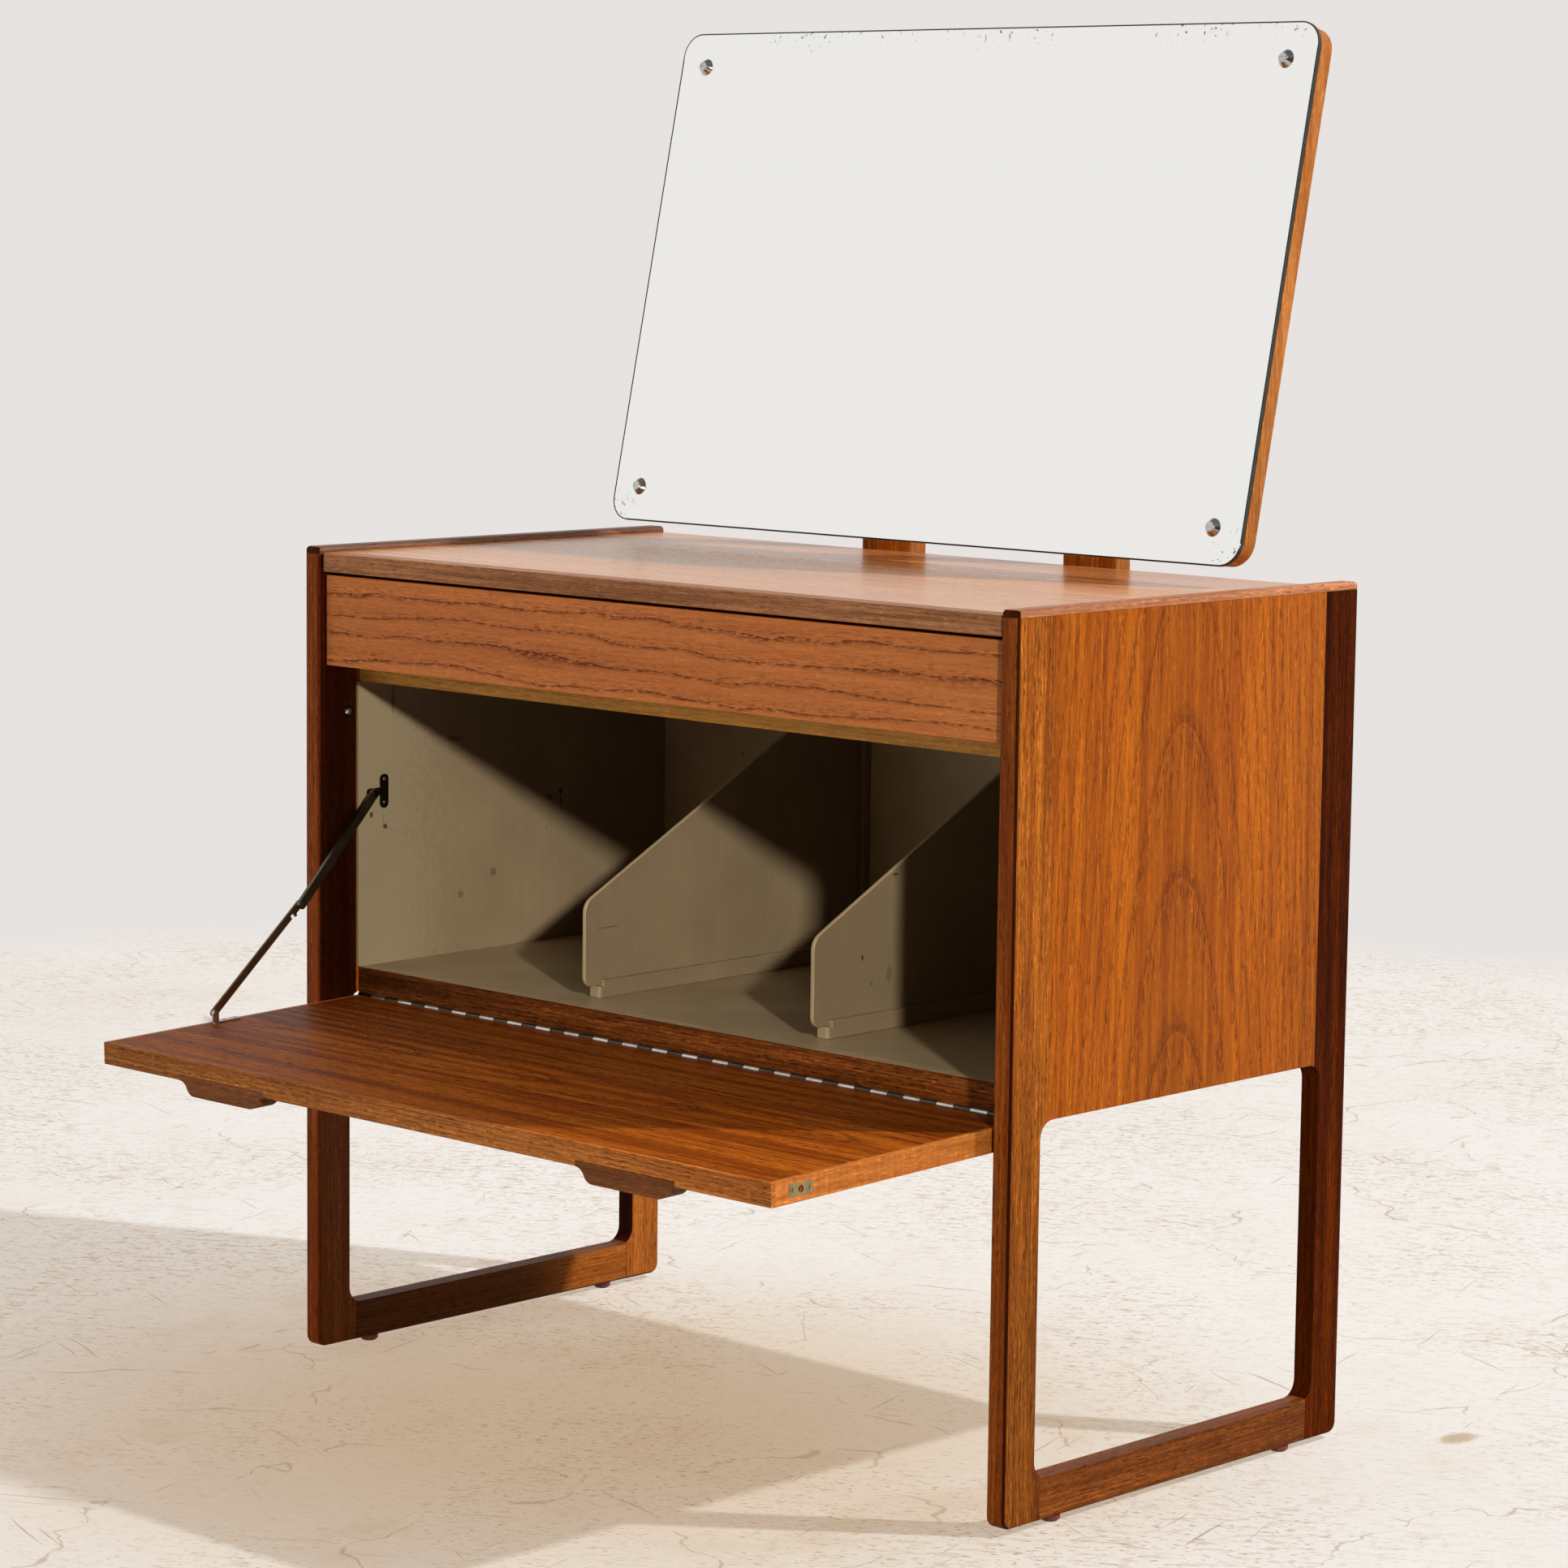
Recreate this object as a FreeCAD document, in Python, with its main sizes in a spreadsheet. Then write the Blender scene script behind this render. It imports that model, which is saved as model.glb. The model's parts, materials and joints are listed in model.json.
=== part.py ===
import FreeCAD, Part
import os
import re
import Sketcher

# Driving sizes: lengths in millimetres, angles in degrees, counts, and shares of other sizes
SIZES = {
    # Whole case
    "case_width": 800,
    "case_depth": 415,
    "post_height": 689,
    "cap_height": 6,
    "glide_height": 5,
    # Side frames
    "frame_thickness": 18,
    "post_depth": 42.2,
    "leg_depth": 34.8,
    "foot_rail_height": 33.5,
    "leg_opening_drop": 21,
    "leg_corner_radius": 14,
    "foot_corner_radius": 9,
    "post_edge_radius": 3,
    "cap_edge_radius": 3.5,
    "glide_radius": 8,
    "glide_edge_chamfer": 2,
    "glide_inset": 65,
    # Top
    "top_drop": 5,
    "top_thickness": 16,
    "top_set_back": 2.9,
    "top_lipping_depth": 20,
    "top_corner_radius": 4,
    "top_back_gap": 7,
    # Back
    "back_thickness": 6,
    "back_lap": 8,
    "top_rail_thickness": 18,
    "top_rail_height": 56,
    # Compartment
    "floor_height": 330,
    "floor_thickness": 16,
    "hinge_drop": 24,
    "lip_set_back": 44.5,
    "lip_depth": 11,
    "lip_height": 45,
    "ceiling_thickness": 12,
    "ceiling_rail_set_back": 45.4,
    "ceiling_rail_depth": 18,
    "liner_thickness": 3,
    # Dividers
    "divider_offset_share": 0.34,
    "divider_thickness": 4,
    "divider_set_back": 71,
    "divider_foot_clearance": 10,
    "divider_foot_radius": 8,
    "divider_front_rise": 81,
    "divider_bend_radius": 15,
    "divider_ceiling_run": 15,
    "batten_width": 14,
    "batten_height": 15,
    "batten_groove_depth": 9,
    "batten_nose_set_back": 83,
    "batten_nose_step": 5,
    "batten_nose_radius": 4,
    "back_batten_depth": 9,
    "back_batten_groove_depth": 5,
    # Drawer
    "drawer_space_height": 84,
    "drawer_front_thickness": 20,
    "drawer_front_set_back": 7.5,
    "drawer_front_side_gap": 1,
    "drawer_front_top_gap": 3,
    "drawer_front_lift": 4,
    "drawer_side_gap": 1,
    "drawer_side_thickness": 14,
    "drawer_side_rise": 10,
    "drawer_side_height": 64,
    "drawer_back_clearance": 13.5,
    "drawer_back_thickness": 12,
    "drawer_bottom_thickness": 4,
    "drawer_bottom_rise": 6,
    "drawer_bottom_groove_depth": 5,
    "runner_projection": 8.5,
    "runner_height": 12,
    "runner_rise": 48,
    "runner_clearance": 0.3,
    "runner_side_clearance": 0.5,
    "runner_set_back": 50,
    "runner_end_gap": 2.5,
    # Fall front
    "door_top_gap": 6.6,
    "door_thickness": 18.5,
    "door_side_gap": 3.2,
    "door_lipping_width": 4,
    "door_edge_radius": 1,
    "door_drop_angle": 1.5,
    # Piano hinge
    "knuckle_radius": 2.6,
    "knuckle_clearance": 0.3,
    "knuckle_pair_count": 22,
    "hinge_end_inset": 5,
    "hinge_leaf_thickness": 1.2,
    "hinge_leaf_width": 15,
    # Handles
    "handle_offset_share": 0.607,
    "handle_half_width": 52,
    "handle_flat_half_width": 34,
    "handle_depth": 31,
    "handle_let_in": 4.8,
    "handle_projection": 11.4,
    "handle_cove_radius": 9,
    "handle_curve_share": 0.97,
    # Ball catches
    "strike_length": 26,
    "strike_width": 10,
    "strike_thickness": 1,
    "strike_hole_radius": 2.8,
    "strike_inset": 31,
    "ball_radius": 3.5,
    "ball_projection": 2.6,
    "ball_clearance": 0.3,
    "barrel_radius": 5,
    "barrel_length": 13,
    "barrel_end_thickness": 2,
    # Folding stay
    "stay_plate_thickness": 1.5,
    "stay_wall_room": 1.3,
    "stay_gap": 0.3,
    "stay_pivot_radius": 1.8,
    "stay_pivot_clearance": 0.05,
    "stay_head_radius": 2.6,
    "stay_head_height": 0.9,
    "stay_wall_set_back": 54.3,
    "stay_wall_rise_share": 0.5443,
    "stay_door_reach_share": 0.5905,
    "stay_door_lift": 8,
    "stay_elbow_share": 0.492,
    "stay_elbow_sag": 6,
    "wall_plate_set_back": 70.6,
    "wall_plate_length": 29.5,
    "wall_plate_width": 9,
    "door_plate_length": 32,
    "door_plate_width": 8,
    "door_plate_overhang": 3,
    "stay_ear_radius": 3.3,
    "channel_width": 8,
    "channel_depth": 3.4,
    "channel_wall": 1,
    "lower_arm_width": 6.6,
    "lower_arm_thickness": 2,
    "hook_set_back": 8,
    "hook_notch_length": 6,
    "hook_notch_depth": 3,
    "hook_nib_length": 2.4,
    "hook_nib_height": 1.6,
    # Mirror
    "mirror_side_margin": 46.5,
    "mirror_height": 439.4,
    "mirror_glass_thickness": 3,
    "mirror_board_thickness": 14,
    "mirror_board_margin": 0.6,
    "mirror_board_end_inset": 2.2,
    "mirror_corner_radius": 20,
    "mirror_lean_angle": 12.15,
    "mirror_pivot_height": 230,
    "mirror_pivot_reach": 23,
    "mirror_pivot_stand_off": 16.2,
    "mirror_pivot_rise": 229.2,
    "mirror_post_offset_share": 0.3253,
    "mirror_post_width": 57.5,
    "mirror_post_thickness": 21,
    "mirror_post_overlap": 135,
    "mirror_post_overrun": 35,
    "mirror_post_edge_radius": 2,
    "stud_inset": 30.5,
    "stud_head_radius": 7.5,
    "stud_head_height": 5,
    "stud_taper_angle": 35,
    "stud_slot_width": 1.6,
    "stud_slot_depth": 1.2,
    "stud_shank_radius": 3,
    "stud_hole_clearance": 0.2,
    "bracket_plate_width": 30,
    "bracket_plate_height": 44,
    "bracket_thickness": 2,
    "bracket_ear_radius": 8,
    "bracket_gap": 0.5,
    "bolt_radius": 3,
    "bolt_clearance": 0.05,
    "bolt_head_radius": 5.5,
    "bolt_head_height": 4,
    # Rounding of every bar's end, as a share of the bar's width
    "round_end_share": 0.49,
}

# Places and sizes worked out from the driving ones: X across, Y from front to back, Z up from the floor
PLACES = {
    # Case
    "half_width": "case_width / 2",
    "inner_x": "half_width - frame_thickness",
    "foot_z": "glide_height",
    "rail_top_z": "foot_z + foot_rail_height",
    "floor_z": "foot_z + floor_height",
    "opening_top_z": "floor_z - leg_opening_drop",
    "joint_z": "foot_z + post_height",
    "case_top_z": "joint_z + cap_height",
    "top_z": "case_top_z - top_drop",
    "top_under_z": "top_z - top_thickness",
    "shelf_top_z": "top_under_z - drawer_space_height",
    "ceiling_z": "shelf_top_z - ceiling_thickness",
    "pin_z": "floor_z - hinge_drop",
    "pin_set_back": "lip_set_back - knuckle_radius",
    "door_span": "shelf_top_z - pin_z - door_top_gap",
    "door_overhang": "door_span * cos(door_drop_angle) - pin_set_back",
    "front_y": "(door_overhang - case_depth - back_thickness - mirror_post_thickness) / 2",
    "back_y": "front_y + case_depth",
    "rear_y": "back_y + back_thickness",
    "front_joint_y": "front_y + post_depth",
    "back_joint_y": "back_y - post_depth",
    "top_front_y": "front_y + top_set_back",
    "top_joint_y": "top_front_y + top_lipping_depth",
    "ceiling_rail_y": "front_y + ceiling_rail_set_back",
    "lip_y": "front_y + lip_set_back",
    "liner_x": "inner_x - liner_thickness",
    # Dividers
    "divider_offset": "divider_offset_share * inner_x",
    "divider_front_y": "front_y + divider_set_back",
    "divider_foot_z": "floor_z + divider_foot_clearance",
    "batten_top_z": "floor_z + batten_height",
    "divider_groove_z": "batten_top_z - batten_groove_depth",
    "nose_y": "front_y + batten_nose_set_back",
    "nose_step_y": "nose_y + batten_nose_step",
    "back_batten_y": "back_y - back_batten_depth",
    "back_groove_y": "back_batten_y + back_batten_groove_depth",
    # Drawer
    "drawer_face_y": "front_y + drawer_front_set_back",
    "drawer_box_y": "drawer_face_y + drawer_front_thickness",
    "drawer_end_y": "back_y - top_rail_thickness - drawer_back_clearance",
    "drawer_front_x": "inner_x - drawer_front_side_gap",
    "drawer_outer_x": "inner_x - drawer_side_gap",
    "drawer_inner_x": "drawer_outer_x - drawer_side_thickness",
    "drawer_side_z": "shelf_top_z + drawer_side_rise",
    "drawer_side_top_z": "drawer_side_z + drawer_side_height",
    "drawer_bottom_z": "drawer_side_z + drawer_bottom_rise",
    "drawer_groove_x": "drawer_inner_x + drawer_bottom_groove_depth",
    "runner_x": "inner_x - runner_projection",
    "runner_y": "front_y + runner_set_back",
    "runner_z": "ceiling_z + runner_rise",
    "runner_top_z": "runner_z + runner_height",
    # Fall front, drawn flat about its hinge pin
    "pin_y": "front_y + pin_set_back",
    "door_half_width": "inner_x - door_side_gap",
    "lipping_x": "door_half_width - door_lipping_width",
    "lipping_y": "door_span - door_lipping_width",
    # Piano hinge
    "hinge_half_length": "inner_x - hinge_end_inset",
    "knuckle_pitch": "2 * hinge_half_length / knuckle_pair_count",
    "knuckle_length": "knuckle_pitch / 2 - knuckle_clearance",
    "hinge_leaf_top": "knuckle_radius + knuckle_clearance",
    # Handles
    "handle_offset": "handle_offset_share * door_half_width",
    "handle_top": "door_thickness - handle_let_in",
    "handle_bottom": "door_thickness + handle_projection",
    "handle_back": "door_span - handle_depth",
    "handle_half_run": "(handle_half_width - handle_flat_half_width) / 2",
    "handle_half_fall": "handle_projection / 2",
    "handle_bend": "(handle_half_run ^ 2 - handle_half_fall ^ 2) / (2 * handle_half_run)",
    "handle_curve": "handle_curve_share * (handle_half_run ^ 2 + handle_half_fall ^ 2) / handle_projection",
    # Ball catches
    "strike_reach": "door_span - strike_inset",
    "strike_depth": "door_thickness / 2",
    "catch_y": "pin_y - strike_depth",
    "catch_z": "pin_z + strike_reach",
    "ball_x": "inner_x + ball_radius - ball_projection",
    "ball_bore_radius": "ball_radius + ball_clearance",
    # Folding stay, on the left
    "stay_door_reach": "stay_door_reach_share * door_span",
    "wall_rivet_y": "front_y + stay_wall_set_back",
    "wall_rivet_z": "floor_z + stay_wall_rise_share * door_span",
    "door_rivet_y": "pin_y - stay_door_reach * cos(door_drop_angle) - stay_door_lift * sin(door_drop_angle)",
    "door_rivet_z": "pin_z - stay_door_reach * sin(door_drop_angle) + stay_door_lift * cos(door_drop_angle)",
    "stay_run_y": "door_rivet_y - wall_rivet_y",
    "stay_run_z": "door_rivet_z - wall_rivet_z",
    "stay_run": "sqrt(stay_run_y ^ 2 + stay_run_z ^ 2)",
    "elbow_y": "wall_rivet_y + stay_elbow_share * stay_run_y - stay_elbow_sag * stay_run_z / stay_run",
    "elbow_z": "wall_rivet_z + stay_elbow_share * stay_run_z + stay_elbow_sag * stay_run_y / stay_run",
    "upper_arm_length": "sqrt((elbow_y - wall_rivet_y) ^ 2 + (elbow_z - wall_rivet_z) ^ 2)",
    "lower_arm_length": "sqrt((elbow_y - door_rivet_y) ^ 2 + (elbow_z - door_rivet_z) ^ 2)",
    "upper_arm_turn": "acos((elbow_y - wall_rivet_y) / upper_arm_length)",
    "lower_arm_turn": "acos((elbow_y - door_rivet_y) / lower_arm_length)",
    "wall_plate_x": "stay_plate_thickness - liner_x",
    "lower_arm_x": "wall_plate_x + stay_wall_room",
    "upper_arm_x": "lower_arm_x + lower_arm_thickness + stay_gap",
    "web_x": "upper_arm_x + channel_depth - channel_wall",
    "arm_face_x": "upper_arm_x + channel_depth",
    "door_ear_x": "upper_arm_x + stay_plate_thickness / 2",
    # Mirror, drawn upright about its pivot
    "pivot_y": "rear_y - mirror_pivot_reach",
    "pivot_z": "case_top_z + mirror_pivot_height",
    "board_back": "-mirror_pivot_stand_off",
    "glass_back": "board_back - mirror_board_thickness",
    "glass_face": "glass_back - mirror_glass_thickness",
    "glass_half_width": "half_width - mirror_side_margin",
    "glass_bottom": "-mirror_pivot_rise",
    "glass_top": "glass_bottom + mirror_height",
    "stud_x": "glass_half_width - stud_inset",
    "stud_low": "glass_bottom + stud_inset",
    "stud_high": "glass_top - stud_inset",
    "mirror_post_offset": "mirror_post_offset_share * glass_half_width",
    "mirror_post_inner_x": "mirror_post_offset - mirror_post_width / 2",
    "mirror_post_outer_x": "mirror_post_offset + mirror_post_width / 2",
    "bracket_ear_x": "mirror_post_offset - bracket_gap / 2",
    "board_ear_x": "mirror_post_offset + bracket_gap / 2",
}

TINY = 1e-6
FOLDER = "parts"

doc = FreeCAD.newDocument("dresser")


def bound(text):
    """Expression in which each name points at the sheet that holds it."""

    def point(word):
        name = word.group()
        if name in SIZES:
            return f"sizes.{name}"
        return f"places.{name}" if name in PLACES else name

    return re.sub(r"[a-z][a-z_]*", point, text)


def add_sheet(name, cells):
    """Spreadsheet with an alias and a cell for each entry."""
    sheet = doc.addObject("Spreadsheet::Sheet", name)
    for row, (alias, content) in enumerate(cells.items(), start=1):
        sheet.set(f"A{row}", alias)
        sheet.set(f"B{row}", content)
        sheet.setAlias(f"B{row}", alias)
    doc.recompute()
    return sheet


sizes = add_sheet("sizes", {alias: str(value) for alias, value in SIZES.items()})
places = add_sheet("places", {alias: "=" + bound(text) for alias, text in PLACES.items()})


def number(text):
    """Present value of an expression."""
    value = places.evalExpression(bound(text))
    return float(getattr(value, "Value", value))


def bind(target, prop, text):
    """Tie one property of an object to the sheets."""
    target.setExpression(prop, bound(text))


def new_body(name, x="0", y="0", z="0", turn=None, axis=None):
    """Body of one piece, moved to a place and turned about an axis when asked."""
    body = doc.addObject("PartDesign::Body", name)
    body.Label = name
    body.AllowCompound = True
    if turn:
        body.Placement = FreeCAD.Placement(FreeCAD.Vector(), FreeCAD.Rotation(axis, number(turn)))
        bind(body, "Placement.Rotation.Angle", turn)
    for direction, text in zip("xyz", (x, y, z)):
        if text != "0":
            bind(body, f"Placement.Base.{direction}", text)
    return body


def door_body(name):
    """Body of a piece on the fall front: X across, -Y out from the hinge pin, Z up from the inner face."""
    return new_body(name, y="pin_y", z="pin_z", turn="door_drop_angle", axis=FreeCAD.Vector(1, 0, 0))


def mirror_body(name):
    """Body of a piece on the mirror: X across, Y square to the glass, Z up along it, from the pivot."""
    return new_body(name, y="pivot_y", z="pivot_z", turn="mirror_lean_angle", axis=FreeCAD.Vector(-1, 0, 0))


def origin_feature(body, role):
    """Plane or axis of a body's own origin."""
    return next(item for item in body.Origin.OriginFeatures if item.Role == role)


def new_sketch(body, plane, offset="0"):
    """Sketch on one of a body's own planes, moved along the plane's normal."""
    sketch = body.newObject("Sketcher::SketchObject", f"{body.Name}_sketch")
    sketch.AttachmentSupport = (origin_feature(body, f"{plane}_Plane"), [""])
    sketch.MapMode = "FlatFace"
    if offset != "0":
        bind(sketch, "AttachmentOffset.Base.z", offset)
    return sketch


def constrain(sketch, text, kind, *geometry):
    """Dimension that follows the sheets."""
    index = sketch.addConstraint(Sketcher.Constraint(kind, *geometry, number(text)))
    sketch.setExpression(f"Constraints[{index}]", bound(text))


def add_outline(sketch, corners):
    """Closed outline through corners, each (across, up) or (across, up, radius)."""
    first = sketch.GeometryCount
    points = [FreeCAD.Vector(number(corner[0]), number(corner[1]), 0) for corner in corners]
    for start, end in zip(points, points[1:] + points[:1]):
        sketch.addGeometry(Part.LineSegment(start, end))
    for index, corner in enumerate(corners):
        line = first + index
        before = first + (index - 1) % len(corners)
        sketch.addConstraint(Sketcher.Constraint("Coincident", before, 2, line, 1))
        constrain(sketch, corner[0], "DistanceX", -1, 1, line, 1)
        constrain(sketch, corner[1], "DistanceY", -1, 1, line, 1)
    for index, corner in enumerate(corners):
        if len(corner) > 2:
            arc = sketch.GeometryCount
            sketch.fillet(first + index, 1, number(corner[2]), True, True)
            constrain(sketch, corner[2], "Radius", arc)


def rectangle(left, bottom, right, top, radius=None):
    """Corners of an upright rectangle, all rounded alike when a radius is given."""
    corners = ((left, bottom), (right, bottom), (right, top), (left, top))
    return [corner + (radius,) for corner in corners] if radius else corners


def add_circle(sketch, across, up, radius):
    """Circle placed from the sketch's origin."""
    centre = FreeCAD.Vector(number(across), number(up), 0)
    circle = sketch.addGeometry(Part.Circle(centre, FreeCAD.Vector(0, 0, 1), number(radius)))
    constrain(sketch, across, "DistanceX", -1, 1, circle, 3)
    constrain(sketch, up, "DistanceY", -1, 1, circle, 3)
    constrain(sketch, radius, "Radius", circle)


def pad(body, sketch, length, backwards=False):
    """Solid drawn out from a sketch along its plane's normal."""
    feature = body.newObject("PartDesign::Pad", f"{body.Name}_pad")
    feature.Profile = sketch
    feature.Reversed = backwards
    bind(feature, "Length", length)
    return feature


def pocket(body, sketch, length=None, backwards=False):
    """Cut from a sketch against its plane's normal, or right through both ways."""
    doc.recompute()
    feature = body.newObject("PartDesign::Pocket", f"{body.Name}_pocket")
    feature.Profile = sketch
    if length:
        feature.Reversed = backwards
        bind(feature, "Length", length)
    else:
        feature.Type = "ThroughAll"
        feature.Midplane = True
    return feature


def block(body, low, high, kind="Additive"):
    """Straight block between two corners, added to a body or taken from it."""
    feature = body.newObject(f"PartDesign::{kind}Box", f"{body.Name}_block")
    for side, direction, start, end in zip(("Length", "Width", "Height"), "xyz", low, high):
        bind(feature, side, f"({end}) - ({start})")
        bind(feature, f"Placement.Base.{direction}", start)
    return feature


def board(name, low, high, make=new_body):
    """Straight board between two corners."""
    body = make(name)
    block(body, low, high)
    return body


def notch(body, low, high):
    """Straight cut between two corners."""
    doc.recompute()
    return block(body, low, high, "Subtractive")


def edges_along(shape, direction, **sides):
    """Names of the edges along a direction that lie on the named sides, such as y='Min'."""
    across = [letter for letter in "XYZ" if letter != direction.upper()]
    found = []
    for index, edge in enumerate(shape.Edges, start=1):
        span = edge.BoundBox
        straight = all(getattr(span, f"{letter}Length") < TINY for letter in across)
        on_sides = all(
            abs(getattr(span, letter.upper() + end) - getattr(shape.BoundBox, letter.upper() + end)) < TINY
            for letter, end in sides.items()
        )
        if straight and on_sides:
            found.append(f"Edge{index}")
    return found


def round_edges(body, radius, names):
    """Fillet on the named edges of a body's last shape."""
    base = body.Tip
    feature = body.newObject("PartDesign::Fillet", f"{body.Name}_fillet")
    feature.Base = (base, names)
    bind(feature, "Radius", radius)
    return feature


def bevel_edges(body, size, names):
    """Chamfer on the named edges of a body's last shape."""
    base = body.Tip
    feature = body.newObject("PartDesign::Chamfer", f"{body.Name}_chamfer")
    feature.Base = (base, names)
    bind(feature, "Size", size)
    return feature


def last_shape(body):
    """Shape of a body so far, in the body's own frame."""
    doc.recompute()
    return body.Tip.Shape


def sided(side, low, high):
    """Low and high X of a piece on one side, given as distances from the middle."""
    return (f"-({high})", f"-({low})") if side == "left" else (low, high)


SIDES = ("left", "right")


def cut_leg_opening(body):
    """Round-cornered opening under the side panel, the same in every piece of the frame."""
    opening = new_sketch(body, "YZ")
    corners = rectangle(
        "front_y + leg_depth", "rail_top_z", "back_y - leg_depth", "opening_top_z", "leg_corner_radius"
    )
    add_outline(opening, corners)
    pocket(body, opening)


def side_frame(side):
    """One side frame: two posts, a foot rail, a panel above the opening, and a cap strip."""
    low_x, high_x = sided(side, "inner_x", "half_width")
    ends = {
        "front": ("front_y", "front_joint_y", "Min", ("foot_corner_radius", None)),
        "back": ("back_joint_y", "back_y", "Max", (None, "foot_corner_radius")),
    }
    for end, (start, stop, outside, (start_radius, stop_radius)) in ends.items():
        post = new_body(f"{side}_{end}_post")
        profile = new_sketch(post, "YZ", low_x)
        foot = [(start, "foot_z"), (stop, "foot_z")]
        if start_radius:
            foot[0] += (start_radius,)
        if stop_radius:
            foot[1] += (stop_radius,)
        add_outline(profile, foot + [(stop, "joint_z"), (start, "joint_z")])
        pad(post, profile, "frame_thickness")
        cut_leg_opening(post)
        round_edges(post, "post_edge_radius", edges_along(last_shape(post), "z", y=outside))
        if end == "front":
            bore = new_sketch(post, "YZ", "-inner_x" if side == "left" else "inner_x")
            add_circle(bore, "catch_y", "catch_z", "barrel_radius")
            pocket(post, bore, "barrel_length", backwards=side == "right")

    rail = board(
        f"{side}_bottom_rail",
        (low_x, "front_joint_y", "foot_z"),
        (high_x, "back_joint_y", "rail_top_z + leg_corner_radius"),
    )
    cut_leg_opening(rail)
    round_edges(rail, "post_edge_radius", edges_along(last_shape(rail), "y", z="Min"))

    panel = board(
        f"{side}_side_panel",
        (low_x, "front_joint_y", "opening_top_z - leg_corner_radius"),
        (high_x, "back_joint_y", "joint_z"),
    )
    cut_leg_opening(panel)

    cap = board(f"{side}_top_strip", (low_x, "front_y", "joint_z"), (high_x, "back_y", "case_top_z"))
    round_edges(cap, "post_edge_radius", edges_along(last_shape(cap), "z"))
    round_edges(cap, "cap_edge_radius", edges_along(last_shape(cap), "y", z="Max"))


def foot_glides():
    """Four round glides under the foot rails, their lower rims bevelled."""
    glides = new_body("foot_glides")
    discs = new_sketch(glides, "XY")
    for across in ("frame_thickness / 2 - half_width", "half_width - frame_thickness / 2"):
        for along in ("front_y + glide_inset", "back_y - glide_inset"):
            add_circle(discs, across, along, "glide_radius")
    pad(glides, discs, "glide_height")
    rims = [
        f"Edge{index}"
        for index, edge in enumerate(last_shape(glides).Edges, start=1)
        if edge.BoundBox.ZMax < TINY
    ]
    bevel_edges(glides, "glide_edge_chamfer", rims)


def case_boards():
    """Top, back, floor, ceiling and rails between the side frames."""
    boards = {
        "top_panel": (("top_joint_y", "top_under_z"), ("back_y - top_back_gap", "top_z")),
        "bottom_shelf": (("lip_y + lip_depth", "floor_z - floor_thickness"), ("back_y", "floor_z")),
        "shelf_lip": (("lip_y", "floor_z - lip_height"), ("lip_y + lip_depth", "floor_z")),
        "drawer_shelf": (
            ("ceiling_rail_y + ceiling_rail_depth", "ceiling_z"),
            ("back_y", "shelf_top_z"),
        ),
        "drawer_shelf_rail": (
            ("ceiling_rail_y", "ceiling_z"),
            ("ceiling_rail_y + ceiling_rail_depth", "shelf_top_z"),
        ),
        "top_back_rail": (
            ("back_y - top_rail_thickness", "top_under_z - top_rail_height"),
            ("back_y", "top_under_z"),
        ),
    }
    for name, (low, high) in boards.items():
        board(name, ("-inner_x",) + low, ("inner_x",) + high)
    board(
        "back_panel",
        ("-inner_x - back_lap", "back_y", "opening_top_z"),
        ("inner_x + back_lap", "rear_y", "top_under_z"),
    )
    lipping = board(
        "top_lipping", ("-inner_x", "top_front_y", "top_under_z"), ("inner_x", "top_joint_y", "top_z")
    )
    round_edges(lipping, "top_corner_radius", edges_along(last_shape(lipping), "z", y="Min"))
    for side in SIDES:
        low_x, high_x = sided(side, "liner_x", "inner_x")
        board(f"{side}_liner", (low_x, "front_joint_y", "floor_z"), (high_x, "back_y", "ceiling_z"))


def divider(side):
    """Sloping divider with its grooved battens on the floor and the back."""
    half = "divider_thickness / 2"
    low_x, high_x = sided(side, f"divider_offset - {half}", f"divider_offset + {half}")
    sheet = new_body(f"{side}_divider")
    profile = new_sketch(sheet, "YZ", low_x)
    add_outline(profile, [
        ("divider_front_y", "divider_foot_z", "divider_foot_radius"),
        ("nose_step_y", "divider_foot_z"),
        ("nose_step_y", "divider_groove_z"),
        ("back_groove_y", "divider_groove_z"),
        ("back_groove_y", "ceiling_z"),
        ("back_groove_y - divider_ceiling_run", "ceiling_z"),
        ("divider_front_y", "floor_z + divider_front_rise", "divider_bend_radius"),
    ])
    pad(sheet, profile, "divider_thickness")

    half = "batten_width / 2"
    batten_low, batten_high = sided(side, f"divider_offset - {half}", f"divider_offset + {half}")
    floor = board(
        f"{side}_floor_batten",
        (batten_low, "nose_y", "floor_z"),
        (batten_high, "back_y", "batten_top_z"),
    )
    notch(floor, (batten_low, "nose_y", "divider_foot_z"), (batten_high, "nose_step_y", "batten_top_z"))
    round_edges(floor, "batten_nose_radius", edges_along(last_shape(floor), "z", y="Min"))
    notch(floor, (low_x, "nose_step_y", "divider_groove_z"), (high_x, "back_y", "batten_top_z"))
    back = board(
        f"{side}_back_batten",
        (batten_low, "back_batten_y", "batten_top_z"),
        (batten_high, "back_y", "ceiling_z"),
    )
    notch(back, (low_x, "back_batten_y", "batten_top_z"), (high_x, "back_groove_y", "ceiling_z"))


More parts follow.
